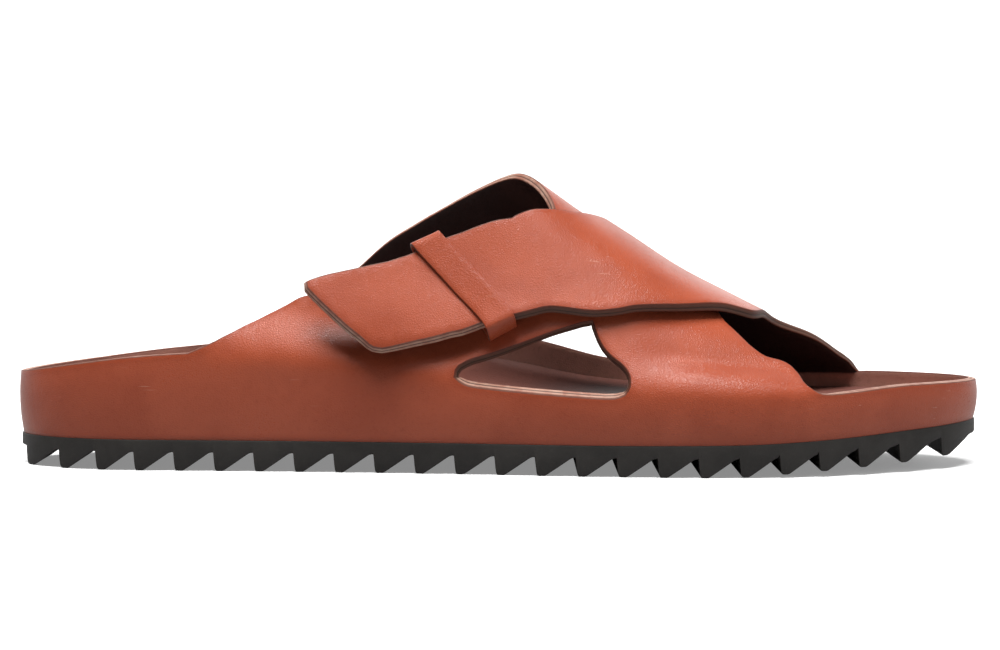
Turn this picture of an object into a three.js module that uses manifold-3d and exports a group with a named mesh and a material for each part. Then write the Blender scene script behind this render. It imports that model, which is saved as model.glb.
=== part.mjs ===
// Crossover slide sandal, right foot, in millimetres: +X toe, +Z up, lateral side towards -Y.
// The upper is cut flat, as leather is, and then wrapped over the last.
import * as THREE from 'three';
import { mergeVertices } from 'three/addons/utils/BufferGeometryUtils.js';
import Module from 'manifold-3d';

const wasm = await Module();
wasm.setup();

// Driving dimensions
const LENGTH = 290;
const BALL_WIDTH = 103;
const COLLAR_HEIGHT = 86;
const SOLE_HEIGHT = 9;
const LEATHER = 2.4;
const CLEARANCE = 0.3;
const HEEL_ROUND = 40;
const TOE_ROUND = 70;
const TOOTH_COUNT = 24;
const TOOTH_DEPTH = 5.4;
const TOOTH_PITCH = 0.0404 * LENGTH;
const FIRST_TOOTH = 0.3 * TOOTH_PITCH;
const LONG_TEETH = 3;
const TOOTH_STRETCH = 0.041 * TOOTH_PITCH;
const SOLE_INSET = 0.9;
const WALL_TUCK = 1.3;
const RIM_TUCK = 0.5;
const WAIST = 0.42;
const SHOULDER = 0.4;
const SHOULDER_TURN = 0.16;
const WAIST_TURN = 0.5;
const BRIDGE_TURN = 0.3;
const LAYER_SINK = 0.2;
const LAYER_RISE = 2.5;
const TAB_RISE = 4;
const KEEPER_LEATHER = 1.1;
const KEEPER_WIDTH = 9.6;
const KEEPER_GAP = 0.88;

// Plan outline: y as a share of BALL_WIDTH, before the ends are rounded
const OUTLINE = [
  { at: 0.00, lateral: -0.335, medial: 0.335 },
  { at: 0.17, lateral: -0.350, medial: 0.340 },
  { at: 0.31, lateral: -0.374, medial: 0.330 },
  { at: 0.45, lateral: -0.422, medial: 0.325 },
  { at: 0.59, lateral: -0.490, medial: 0.398 },
  { at: 0.71, lateral: -0.519, medial: 0.471 },
  { at: 0.81, lateral: -0.482, medial: 0.486 },
  { at: 0.91, lateral: -0.398, medial: 0.515 },
  { at: 1.00, lateral: -0.330, medial: 0.505 },
];

// Rim of the leather wall: z as a share of COLLAR_HEIGHT
const RIM = [
  { at: 0.00, lateral: 0.314, medial: 0.314 },
  { at: 0.07, lateral: 0.354, medial: 0.341 },
  { at: 0.14, lateral: 0.384, medial: 0.370 },
  { at: 0.24, lateral: 0.401, medial: 0.404 },
  { at: 0.35, lateral: 0.372, medial: 0.442 },
  { at: 0.44, lateral: 0.328, medial: 0.454 },
  { at: 0.52, lateral: 0.293, medial: 0.430 },
  { at: 0.62, lateral: 0.272, medial: 0.343 },
  { at: 0.72, lateral: 0.265, medial: 0.298 },
  { at: 0.83, lateral: 0.270, medial: 0.288 },
  { at: 0.92, lateral: 0.291, medial: 0.290 },
  { at: 1.00, lateral: 0.291, medial: 0.291 },
];

// Top line of the last: height a share of COLLAR_HEIGHT, y a share of BALL_WIDTH. Waist is how far
// the flanks below it draw in, as a share of WAIST.
const RIDGE = [
  { at: 0.00, height: 1.570, y: 0.000, waist: 1.00 },
  { at: 0.20, height: 1.535, y: 0.010, waist: 1.00 },
  { at: 0.28, height: 1.442, y: 0.010, waist: 1.00 },
  { at: 0.35, height: 1.302, y: 0.019, waist: 1.00 },
  { at: 0.45, height: 1.105, y: 0.029, waist: 0.90 },
  { at: 0.525, height: 0.984, y: 0.029, waist: 0.72 },
  { at: 0.575, height: 0.864, y: 0.029, waist: 0.58 },
  { at: 0.62, height: 0.771, y: 0.029, waist: 0.50 },
  { at: 0.68, height: 0.638, y: 0.036, waist: 0.47 },
  { at: 0.73, height: 0.556, y: 0.043, waist: 0.47 },
  { at: 0.79, height: 0.484, y: 0.053, waist: 0.47 },
  { at: 0.83, height: 0.468, y: 0.058, waist: 0.47 },
  { at: 0.88, height: 0.440, y: 0.066, waist: 0.47 },
  { at: 0.92, height: 0.385, y: 0.070, waist: 0.47 },
  { at: 1.00, height: 0.302, y: 0.078, waist: 0.47 },
];

// Outsole side view: top face and tooth tips above the floor, as shares of SOLE_HEIGHT
const SOLE = [
  { at: 0.00, top: 1.000, base: 0.000 },
  { at: 0.60, top: 1.000, base: 0.000 },
  { at: 0.71, top: 1.035, base: 0.000 },
  { at: 0.74, top: 1.050, base: 0.030 },
  { at: 0.80, top: 1.130, base: 0.150 },
  { at: 0.865, top: 1.256, base: 0.260 },
  { at: 0.91, top: 1.356, base: 0.330 },
  { at: 0.955, top: 1.444, base: 0.430 },
  { at: 1.00, top: 1.544, base: 0.640 },
];

// One tooth of the outsole: x from its tip as a share of TOOTH_PITCH, z as a share of TOOTH_DEPTH
const TOOTH = [
  { x: -0.077, z: 1.00 },
  { x: -0.026, z: 0.15 },
  { x: 0.034, z: 0.00 },
  { x: 0.154, z: 0.00 },
  { x: 0.794, z: 0.93 },
  { x: 0.879, z: 1.00 },
];

// Footbed dish: z of its edges and its middle as shares of COLLAR_HEIGHT
const DISH = [
  { at: 0.00, lateral: 0.279, middle: 0.262, medial: 0.279 },
  { at: 0.14, lateral: 0.302, middle: 0.250, medial: 0.302 },
  { at: 0.31, lateral: 0.302, middle: 0.244, medial: 0.349 },
  { at: 0.45, lateral: 0.267, middle: 0.238, medial: 0.360 },
  { at: 0.62, lateral: 0.238, middle: 0.227, medial: 0.267 },
  { at: 0.75, lateral: 0.227, middle: 0.221, medial: 0.238 },
  { at: 0.90, lateral: 0.238, middle: 0.233, medial: 0.242 },
  { at: 1.00, lateral: 0.250, middle: 0.244, medial: 0.250 },
];

// Flat pattern. Each point is [share of LENGTH, wrap], and the wrap runs from -2 at the lateral
// bottom edge through -1 at the lateral rim, 0 on the ridge and 1 at the medial rim to 2.
const COLLAR_EDGE = [
  [0.186, 1.000], [0.207, 0.985], [0.238, 0.962], [0.270, 0.925], [0.303, 0.885], [0.343, 0.832],
  [0.381, 0.740], [0.413, 0.650], [0.445, 0.538], [0.477, 0.392], [0.500, 0.250], [0.520, 0.075],
  [0.535, -0.050], [0.546, -0.165], [0.552, -0.265], [0.550, -0.340], [0.540, -0.410],
  [0.518, -0.480], [0.490, -0.560], [0.455, -0.645], [0.414, -0.735], [0.372, -0.803],
  [0.334, -0.850], [0.300, -0.882], [0.283, -0.910], [0.261, -0.939], [0.236, -0.963],
  [0.207, -0.986], [0.186, -1.000],
];
const LATERAL_CUTOUT = {
  front: [
    [0.592, -0.728], [0.595, -0.760], [0.599, -0.798], [0.605, -0.834], [0.613, -0.862],
    [0.621, -0.885], [0.627, -0.916], [0.629, -0.950], [0.627, -0.985], [0.622, -1.030],
    [0.615, -1.085], [0.605, -1.103],
  ],
  bottom: [
    [0.605, -1.103], [0.590, -1.103], [0.560, -1.098], [0.530, -1.097], [0.500, -1.098],
    [0.476, -1.103], [0.466, -1.090], [0.459, -1.045], [0.454, -0.995], [0.459, -0.973],
  ],
  top: [
    [0.459, -0.973], [0.470, -0.952], [0.484, -0.933], [0.499, -0.911], [0.517, -0.881],
    [0.535, -0.847], [0.553, -0.809], [0.570, -0.773], [0.582, -0.746], [0.592, -0.728],
  ],
};
const STRAP_B_FRONT = [
  [0.829, -1.000], [0.817, -0.985], [0.807, -0.958], [0.801, -0.915], [0.797, -0.842],
  [0.791, -0.768], [0.784, -0.726], [0.776, -0.706], [0.765, -0.693], [0.756, -0.664],
  [0.747, -0.618], [0.739, -0.562], [0.731, -0.508], [0.723, -0.455], [0.716, -0.360],
  [0.708, -0.210], [0.698, -0.020], [0.687, 0.165], [0.673, 0.330], [0.655, 0.480], [0.634, 0.600],
  [0.610, 0.690], [0.580, 0.760], [0.545, 0.822], [0.510, 0.880],
];
const MEDIAL_CUTOUT_END = [
  [0.510, 0.880], [0.486, 0.930], [0.474, 0.968], [0.477, 1.012], [0.495, 1.030],
];
const MEDIAL_CUTOUT_BOTTOM = [[0.495, 1.030], [0.550, 1.035], [0.610, 1.035], [0.660, 1.025], [0.680, 1.000]];
const STRAP_A_REAR = [
  [0.305, -0.872], [0.313, -0.860], [0.324, -0.845], [0.338, -0.828], [0.352, -0.811],
  [0.368, -0.790], [0.384, -0.768], [0.397, -0.745], [0.410, -0.720], [0.427, -0.678],
  [0.446, -0.630], [0.461, -0.596], [0.480, -0.547], [0.497, -0.505], [0.510, -0.478],
  [0.514, -0.460], [0.528, -0.405], [0.539, -0.372], [0.551, -0.332], [0.568, -0.268],
  [0.590, -0.120], [0.611, 0.080], [0.629, 0.300], [0.645, 0.520], [0.657, 0.720], [0.669, 0.880],
  [0.684, 1.000], [0.690, 1.100],
];
const STRAP_A_FRONT = [
  [0.896, 1.100], [0.893, 1.000], [0.879, 0.870], [0.866, 0.745], [0.855, 0.635], [0.840, 0.510],
  [0.826, 0.425], [0.811, 0.350], [0.797, 0.270], [0.784, 0.170], [0.774, 0.040], [0.766, -0.100],
  [0.758, -0.240], [0.749, -0.326], [0.736, -0.376], [0.720, -0.418], [0.703, -0.472],
  [0.678, -0.543], [0.654, -0.598], [0.630, -0.649], [0.615, -0.686], [0.598, -0.715],
  [0.585, -0.729], [0.565, -0.742], [0.553, -0.752], [0.544, -0.765], [0.533, -0.787],
  [0.519, -0.812], [0.502, -0.840], [0.483, -0.871], [0.474, -0.887], [0.462, -0.905],
  [0.450, -0.916], [0.434, -0.930], [0.411, -0.945], [0.394, -0.956], [0.382, -0.963],
];
const TAB_END = [
  [0.382, -0.963], [0.372, -0.963], [0.361, -0.953], [0.347, -0.941], [0.332, -0.926],
  [0.317, -0.907], [0.305, -0.883], [0.305, -0.872],
];

// Where the inner strap ends under the outer one, which comes down to the wall from there
const STEP_DOWN = [
  { at: -1.0, x: 0.740 },
  { at: -0.4, x: 0.724 },
  { at: 0.0, x: 0.699 },
  { at: 0.33, x: 0.673 },
  { at: 0.6, x: 0.634 },
  { at: 0.8, x: 0.590 },
  { at: 1.0, x: 0.540 },
];
const STEP_LENGTH = 0.12;

// Lift of the outer strap's free end over the wing, as a share of TAB_RISE. Its lower edge lifts more.
const TAB_LIFT = [
  { at: 0.27, rise: 1.00 },
  { at: 0.35, rise: 0.62 },
  { at: 0.41, rise: 0.15 },
  { at: 0.52, rise: 0.00 },
];

// Middle line of the keeper across the outer strap, and where its band runs
const KEEPER_LINE = [
  [0.425, -0.664], [0.437, -0.690], [0.452, -0.722], [0.468, -0.757], [0.483, -0.790], [0.494, -0.820],
  [0.500, -0.845], [0.502, -0.858],
];

// Reading of a table: a smooth curve through its rows that never overshoots them
function read(rows, column, at) {
  const last = rows.length - 1;
  const x = Math.min(Math.max(at, rows[0].at), rows[last].at);
  let i = 0;
  while (i < last - 1 && x >= rows[i + 1].at) i += 1;
  const slope = (k) => (rows[k + 1][column] - rows[k][column]) / (rows[k + 1].at - rows[k].at);
  const tangent = (k) => {
    if (k === 0) return slope(0);
    if (k === last) return slope(last - 1);
    const before = slope(k - 1);
    const after = slope(k);
    return before * after > 0 ? 2 * before * after / (before + after) : 0;
  };
  const step = rows[i + 1].at - rows[i].at;
  const s = (x - rows[i].at) / step;
  return (1 + 2 * s) * (1 - s) ** 2 * rows[i][column]
    + s * (1 - s) ** 2 * step * tangent(i)
    + s * s * (3 - 2 * s) * rows[i + 1][column]
    + s * s * (s - 1) * step * tangent(i + 1);
}

const { clamp, smoothstep, lerp } = THREE.MathUtils;
const soleTop = (x) => SOLE_HEIGHT * read(SOLE, 'top', x / LENGTH);
const soleBase = (x) => SOLE_HEIGHT * read(SOLE, 'base', x / LENGTH);
const sideName = (side) => (side < 0 ? 'lateral' : 'medial');

// The wall faces fore and aft at the ends: -1 at the back of the heel, 0 along the sides, 1 at the toe
const heelTurn = (x) => clamp(1 - x / HEEL_ROUND, 0, 1);
const toeTurn = (x) => clamp(1 - (LENGTH - x) / TOE_ROUND, 0, 1);
const heading = (x) => toeTurn(x) - heelTurn(x);
const across = (x) => Math.sqrt(1 - heading(x) ** 2);

// Point of the plan outline, moved in by an inset
function outlinePoint(x, side, inset) {
  const lateral = BALL_WIDTH * read(OUTLINE, 'lateral', x / LENGTH);
  const medial = BALL_WIDTH * read(OUTLINE, 'medial', x / LENGTH);
  const rounding = Math.sqrt(1 - heelTurn(x) ** 2) * Math.sqrt(1 - toeTurn(x) ** 2);
  const y = (lateral + medial) / 2 + side * (medial - lateral) / 2 * rounding;
  return new THREE.Vector2(x - heading(x) * inset, y - side * across(x) * inset);
}

// How far a flank has drawn in, as a share of its span, where the last turns in over the wall: a
// narrow shoulder and a slower waist above it
const drawIn = (x, turn, share, spread) => WAIST * read(RIDGE, 'waist', x / LENGTH) * share
  * (1 - Math.exp(-((turn / spread) ** 2))) * Math.cos(turn);
const turnAt = (c) => (1 - Math.abs(c)) * Math.PI / 2;

// Inner face of the leather at a place of the pattern
function wrap(x, c) {
  const side = c < 0 ? -1 : 1;
  const rimHeight = COLLAR_HEIGHT * read(RIM, sideName(side), x / LENGTH);
  const bottom = soleTop(x) + CLEARANCE;
  if (Math.abs(c) >= 1) {
    const q = 2 - Math.abs(c);
    const tuck = WALL_TUCK * (1 - q) ** 3 + RIM_TUCK * q ** 5;
    const p = outlinePoint(x, side, LEATHER + tuck);
    return new THREE.Vector3(p.x, p.y, lerp(bottom, rimHeight, q));
  }
  const rim = outlinePoint(x, side, LEATHER + RIM_TUCK);
  const top = COLLAR_HEIGHT * read(RIDGE, 'height', x / LENGTH);
  const middle = BALL_WIDTH * read(RIDGE, 'y', x / LENGTH);
  const turn = turnAt(c);
  const reach = Math.cos(turn) ** 0.9 - drawIn(x, turn, SHOULDER, SHOULDER_TURN)
    - drawIn(x, turn, 1 - SHOULDER, WAIST_TURN);
  return new THREE.Vector3(rim.x, middle + (rim.y - middle) * reach, lerp(rimHeight, top, Math.sin(turn)));
}

// Outward direction there: level on the wall, square to the surface above it
function outward(x, c) {
  const side = c < 0 ? -1 : 1;
  const level = new THREE.Vector3(heading(x), side * across(x), 0);
  if (Math.abs(c) >= 1) return level;
  const alongX = wrap(x + 0.5, c).sub(wrap(x - 0.5, c));
  const acrossC = wrap(x, c + 0.01).sub(wrap(x, c - 0.01));
  const square = alongX.cross(acrossC).normalize();
  return level.lerp(square, smoothstep(1 - Math.abs(c), 0, 0.1)).normalize();
}

const place = (x, c, height) => wrap(x, c).addScaledVector(outward(x, c), height);

// How high the outer strap's inner face lies over the last: on the inner strap, clear of the wing
// where the keeper passes, and straight across the hollow above the shoulder
function strapLift(x, c) {
  const beyond = (x / LENGTH - read(STEP_DOWN, 'x', c)) / STEP_LENGTH;
  const onStrap = (LEATHER - LAYER_SINK) * (1 - smoothstep(beyond, 0.05, 1));
  const rise = LAYER_RISE * smoothstep(-c, 0.08, 0.5) * (1 - smoothstep(x / LENGTH, 0.70, 0.79));
  const tilt = lerp(0.5, 1.1, smoothstep(-c, 0.84, 0.97));
  const turn = turnAt(c);
  const span = Math.abs(outlinePoint(x, c < 0 ? -1 : 1, LEATHER + RIM_TUCK).y
    - BALL_WIDTH * read(RIDGE, 'y', x / LENGTH));
  const hollow = drawIn(x, turn, SHOULDER, SHOULDER_TURN) - drawIn(x, turn, SHOULDER, BRIDGE_TURN);
  const bridge = span * hollow * Math.abs(outward(x, c).y);
  return onStrap + rise + bridge + TAB_RISE * tilt * read(TAB_LIFT, 'rise', x / LENGTH);
}

// The flat pattern: x along the foot, wrap across it, height through the leather. A faint dome
// keeps every cell of its grid in the cut.
const PATTERN_WIDTH = 60;
const DOME = 2000;
const dome = (x, v) => ((x - LENGTH / 2) ** 2 + v ** 2) / DOME;
const PATTERN_TOP = dome(0, 2 * PATTERN_WIDTH) + 4 * (LEATHER + LAYER_RISE + TAB_RISE);

// Stations along the foot, closer together round the heel and the toe
const HEEL_STEPS = 6;
const TOE_STEPS = 7;
const WING_START = 0.186 * LENGTH;
const STATIONS = [];
for (let i = 0; i < HEEL_STEPS; i += 1) {
  STATIONS.push(HEEL_ROUND * (1 - Math.cos(i / HEEL_STEPS * Math.PI / 2)));
}
STATIONS.push(HEEL_ROUND, (HEEL_ROUND + WING_START) / 2);
const SIDE_STEPS = 22;
for (let i = 0; i < SIDE_STEPS; i += 1) {
  STATIONS.push(lerp(WING_START, LENGTH - TOE_ROUND, i / SIDE_STEPS));
}
for (let i = TOE_STEPS; i >= 0; i -= 1) {
  STATIONS.push(LENGTH - TOE_ROUND * (1 - Math.cos(i / TOE_STEPS * Math.PI / 2)));
}
const WALL_ROWS = [1, 1.33, 1.7, 2];
const ARCH_STEPS = 20;
const ROWS = [];
for (const row of WALL_ROWS.slice(1).reverse()) ROWS.push(-row);
for (let j = 0; j <= ARCH_STEPS; j += 1) ROWS.push(2 * j / ARCH_STEPS - 1);
for (const row of WALL_ROWS.slice(1)) ROWS.push(row);

// Solid from a list of corner points and triangles
function solidOf(points, triangles) {
  const flat = new THREE.BufferGeometry();
  flat.setAttribute('position', new THREE.Float32BufferAttribute(points.flatMap((p) => p.toArray()), 3));
  flat.setIndex(triangles);
  return flat;
}

function toManifold(geometry) {
  const bare = geometry.index ? geometry.clone() : geometry;
  bare.deleteAttribute('normal');
  bare.deleteAttribute('uv');
  const merged = mergeVertices(bare);
  return new wasm.Manifold(new wasm.Mesh({
    numProp: 3,
    vertProperties: new Float32Array(merged.attributes.position.array),
    triVerts: new Uint32Array(merged.index.array),
  }));
}

function fromManifold(solid) {
  const mesh = solid.getMesh();
  const geometry = new THREE.BufferGeometry();
  geometry.setAttribute('position', new THREE.Float32BufferAttribute(mesh.vertProperties, 3));
  geometry.setIndex(Array.from(mesh.triVerts));
  return geometry;
}

// Triangles without the ones whose corners have merged
function withoutSlivers(geometry) {
  const merged = mergeVertices(geometry, 1e-3);
  const index = Array.from(merged.index.array);
  const kept = [];
  for (let i = 0; i < index.length; i += 3) {
    const [a, b, c] = index.slice(i, i + 3);
    if (a !== b && b !== c && c !== a) kept.push(a, b, c);
  }
  merged.setIndex(kept);
  return merged;
}

// Sheet of leather in the flat pattern: the cells that the test keeps, one leather thick
function sheet(keeps, lift) {
  const points = [];
  const width = ROWS.length;
  for (const layer of [0, LEATHER]) {
    for (const x of STATIONS) {
      for (const c of ROWS) {
        const v = c * PATTERN_WIDTH;
        points.push(new THREE.Vector3(x, v, dome(x, v) + layer + lift(x, c)));
      }
    }
  }
  const upper = STATIONS.length * width;
  const cell = (i, j) => {
    if (i < 0 || j < 0 || i >= STATIONS.length - 1 || j >= width - 1) return false;
    return keeps((STATIONS[i] + STATIONS[i + 1]) / 2, (ROWS[j] + ROWS[j + 1]) / 2);
  };
  const triangles = [];
  const edge = (a, b) => triangles.push(a, b, b + upper, a, b + upper, a + upper);
  for (let i = 0; i < STATIONS.length - 1; i += 1) {
    for (let j = 0; j < width - 1; j += 1) {
      if (!cell(i, j)) continue;
      const a = i * width + j;
      const b = a + width;
      triangles.push(a, a + 1, b, b, a + 1, b + 1);
      triangles.push(a + upper, b + upper, a + upper + 1, b + upper, b + upper + 1, a + upper + 1);
      if (!cell(i, j - 1)) edge(a, b);
      if (!cell(i + 1, j)) edge(b, b + 1);
      if (!cell(i, j + 1)) edge(b + 1, a + 1);
      if (!cell(i - 1, j)) edge(a + 1, a);
    }
  }
  return toManifold(solidOf(points, triangles));
}

// Die that stands through the pattern: its outline is made of edges, each a smooth curve
const DIE_SPACING = 4.5;
function die(...edges) {
  const outline = new THREE.Shape();
  const corners = edges.flatMap((edge) => {
    const curve = new THREE.SplineCurve(edge.map(([at, c]) => new THREE.Vector2(at * LENGTH, c * PATTERN_WIDTH)));
    const steps = Math.max(1, Math.round(curve.getLength() / DIE_SPACING));
    return curve.getSpacedPoints(steps).slice(0, -1);
  });
  outline.setFromPoints(corners);
  const block = new THREE.ExtrudeGeometry(outline, { depth: 2 * PATTERN_TOP, bevelEnabled: false });
  block.translate(0, 0, -PATTERN_TOP);
  return toManifold(block);
}
const straight = (...points) => points.slice(1).map((p, i) => [points[i], p]);

// Upper: the wall all round, the inner strap and both wings are one sheet. The outer strap is a
// second sheet that grows from the medial rim and lies on the first where they cross.
const archFrom = WING_START / LENGTH;
const innerSheet = sheet((x, c) => {
  if (Math.abs(c) > 1) return true;
  const at = x / LENGTH;
  const front = read(STEP_DOWN, 'x', c) + 0.03;
  return at > archFrom && at < (c > -0.42 ? front : 0.87);
}, () => 0);
const collarDie = die(COLLAR_EDGE, ...straight([0.186, -1], [0.16, -0.9], [0.16, 0.9], [0.186, 1]));
const lateralDie = die(LATERAL_CUTOUT.front, LATERAL_CUTOUT.bottom, LATERAL_CUTOUT.top);
const frontDie = die(STRAP_B_FRONT, MEDIAL_CUTOUT_END, MEDIAL_CUTOUT_BOTTOM,
  ...straight([0.680, 1], [0.700, 0.95], [0.900, 0.95], [0.900, -1], [0.829, -1]));
const outerSheet = sheet((x, c) => x > 0.25 * LENGTH && x < 0.93 * LENGTH && Math.abs(c) < 1, strapLift);
const strapDie = die(STRAP_A_REAR, ...straight([0.690, 1.1], [0.896, 1.1]), STRAP_A_FRONT, TAB_END);
const flatUpper = innerSheet.subtract(collarDie).subtract(lateralDie).subtract(frontDie)
  .add(outerSheet.intersect(strapDie));

// Wrapping: the pattern's two ends meet behind the heel and before the toe, where they are joined
function wrapUpper(solid) {
  const flat = fromManifold(solid);
  const p = flat.attributes.position;
  const index = Array.from(flat.index.array);
  const kept = [];
  for (let i = 0; i < index.length; i += 3) {
    const xs = index.slice(i, i + 3).map((k) => p.getX(k));
    const joint = Math.max(...xs) < 1e-3 || Math.min(...xs) > LENGTH - 1e-3;
    if (!joint) kept.push(...index.slice(i, i + 3));
  }
  const joined = new Map();
  const same = [];
  for (let k = 0; k < p.count; k += 1) {
    const x = p.getX(k);
    const v = p.getY(k);
    const height = p.getZ(k) - dome(x, v);
    same.push(k);
    if (x < 1e-3 || x > LENGTH - 1e-3) {
      const key = [x.toFixed(1), Math.abs(v).toFixed(2), height.toFixed(2)].join();
      if (!joined.has(key)) joined.set(key, k);
      same[k] = joined.get(key);
    }
    const at = place(x, v / PATTERN_WIDTH, height);
    p.setXYZ(k, at.x, at.y, at.z);
  }
  flat.setIndex(kept.map((k) => same[k]));
  return flat;
}

// Outsole: the side view with its teeth, cut to the plan outline
function outsole() {
  const profile = new THREE.Shape();
  const front = LENGTH + TOOTH_PITCH;
  const back = -TOOTH_PITCH;
  const points = [new THREE.Vector2(back, TOOTH_DEPTH)];
  for (let i = 0; i < TOOTH_COUNT; i += 1) {
    const late = Math.max(0, i - (TOOTH_COUNT - 1 - LONG_TEETH));
    const tip = FIRST_TOOTH + i * TOOTH_PITCH + TOOTH_STRETCH * late ** 2;
    for (const corner of TOOTH) {
      points.push(new THREE.Vector2(tip + corner.x * TOOTH_PITCH, soleBase(tip) + corner.z * TOOTH_DEPTH));
    }
  }
  points.push(new THREE.Vector2(front, soleBase(LENGTH) + TOOTH_DEPTH));
  points.push(new THREE.Vector2(front, soleTop(LENGTH)));
  for (const x of STATIONS.slice(1).reverse()) points.push(new THREE.Vector2(x, soleTop(x)));
  points.push(new THREE.Vector2(back, SOLE_HEIGHT));
  profile.setFromPoints(points);
  const bar = new THREE.ExtrudeGeometry(profile, { depth: 2 * BALL_WIDTH, bevelEnabled: false });
  bar.rotateX(Math.PI / 2);
  bar.translate(0, BALL_WIDTH, 0);
  const plan = new THREE.Shape();
  const lateral = STATIONS.map((x) => outlinePoint(x, -1, SOLE_INSET));
  const medial = STATIONS.slice(1, -1).reverse().map((x) => outlinePoint(x, 1, SOLE_INSET));
  plan.setFromPoints([...lateral, ...medial]);
  const plate = new THREE.ExtrudeGeometry(plan, { depth: 4 * SOLE_HEIGHT, bevelEnabled: false });
  plate.translate(0, 0, -SOLE_HEIGHT);
  return fromManifold(toManifold(bar).intersect(toManifold(plate)));
}

// Footbed: a moulded dish inside the leather wall
const DISH_TURNS = [0.06, 0.18, 0.34, 0.5, 0.66, 0.82, 0.94];
function footbed() {
  const points = [];
  const triangles = [];
  for (const x of STATIONS) {
    const at = x / LENGTH;
    const bottom = soleTop(x) + CLEARANCE;
    const round = across(x);
    const wallPoint = (side, share) => {
      const rimHeight = COLLAR_HEIGHT * read(RIM, sideName(side), at);
      const edgeHeight = COLLAR_HEIGHT * read(DISH, sideName(side), at);
      const q = share * (edgeHeight - bottom) / (rimHeight - bottom);
      return place(x, side * (2 - q), -2 * CLEARANCE);
    };
    const lateral = wallPoint(-1, 1);
    const medial = wallPoint(1, 1);
    const middle = COLLAR_HEIGHT * read(DISH, 'middle', at);
    points.push(wallPoint(-1, 0), wallPoint(-1, 0.5), lateral);
    for (const t of DISH_TURNS) {
      const p = lateral.clone().lerp(medial, t);
      const sink = (1 - Math.abs(2 * t - 1) ** 2.5) * round;
      p.z = lerp(p.z, middle, sink);
      points.push(p);
    }
    points.push(medial, wallPoint(1, 0.5), wallPoint(1, 0));
  }
  const ring = DISH_TURNS.length + 6;
  for (let i = 0; i < STATIONS.length - 1; i += 1) {
    for (let j = 0; j < ring; j += 1) {
      const a = i * ring + j;
      const b = i * ring + (j + 1) % ring;
      triangles.push(a, a + ring, b, b, a + ring, b + ring);
    }
  }
  return withoutSlivers(solidOf(points, triangles));
}

// Keeper: a flat loop round the outer strap
const KEEPER_STEPS = 9;
function keeper() {
  const line = new THREE.SplineCurve(KEEPER_LINE.map(([at, c]) => new THREE.Vector2(at * LENGTH, c * PATTERN_WIDTH)));
  const loop = [];
  for (let i = 0; i <= KEEPER_STEPS; i += 1) loop.push({ t: i / KEEPER_STEPS, over: true });
  for (let i = KEEPER_STEPS; i >= 0; i -= 1) loop.push({ t: i / KEEPER_STEPS, over: false });
  const points = [];
  for (const { t, over } of loop) {
    const middle = line.getPoint(t);
    const centre = place(middle.x, middle.y / PATTERN_WIDTH, 0);
    const ahead = place(middle.x + 1, middle.y / PATTERN_WIDTH, 0);
    const along = ahead.sub(centre).length();
    for (const side of [-1, 1]) {
      const x = middle.x + side * KEEPER_WIDTH / 2 / along;
      const c = middle.y / PATTERN_WIDTH + side * lerp(0.04, 0.03, t);
      const low = LEATHER + KEEPER_GAP;
      const high = strapLift(x, c) + LEATHER + KEEPER_GAP;
      const inner = over ? high : low + KEEPER_LEATHER;
      const outer = over ? high + KEEPER_LEATHER : low;
      const end = Math.abs(2 * t - 1) === 1 ? 1 : 0;
      const grow = (t < 0.5 ? 1 : -1) * end * KEEPER_LEATHER / PATTERN_WIDTH;
      points.push(place(x, c, inner), place(x, c + grow, outer));
    }
  }
  const triangles = [];
  const ring = [0, 2, 3, 1];
  const count = loop.length;
  for (let i = 0; i < count; i += 1) {
    const next = (i + 1) % count;
    for (let k = 0; k < 4; k += 1) {
      const a = i * 4 + ring[k];
      const b = i * 4 + ring[(k + 1) % 4];
      const c = next * 4 + ring[k];
      const d = next * 4 + ring[(k + 1) % 4];
      triangles.push(a, b, c, c, b, d);
    }
  }
  return solidOf(points, triangles);
}

const sandal = new THREE.Group();
function add(name, geometry, material) {
  geometry.computeVertexNormals();
  const mesh = new THREE.Mesh(geometry, new THREE.MeshStandardMaterial(material));
  mesh.name = name;
  sandal.add(mesh);
  return mesh;
}
const sole = add('outsole', outsole(), { color: '#2b2a29', roughness: 0.85, metalness: 0 });
add('footbed', footbed(), { color: '#5a3027', roughness: 0.7, metalness: 0 });
add('upper', wrapUpper(flatUpper), { color: '#a04f37', roughness: 0.42, metalness: 0 });
add('strap_keeper', keeper(), { color: '#8f4a35', roughness: 0.5, metalness: 0 });

// The origin is under the middle of the outsole, on the floor
const footprint = new THREE.Box3().setFromObject(sole);
const middle = footprint.getCenter(new THREE.Vector3());
sandal.position.set(-middle.x, -middle.y, 0);
sandal.updateMatrixWorld(true);

export default sandal;
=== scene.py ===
"""Leather crossover slide sandal, right foot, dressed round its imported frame.

Shaping is done in millimetres, with the back of the heel at X = 0 and the toe towards +X, on the
same last as the frame's solids. `to_frame` takes points from there to the frame, in metres.
"""
import math

import bpy
import numpy as np
from bpy.props import FloatProperty, FloatVectorProperty, PointerProperty
from mathutils import Matrix, Vector
from mathutils.geometry import delaunay_2d_cdt
from mathutils.kdtree import KDTree


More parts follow.
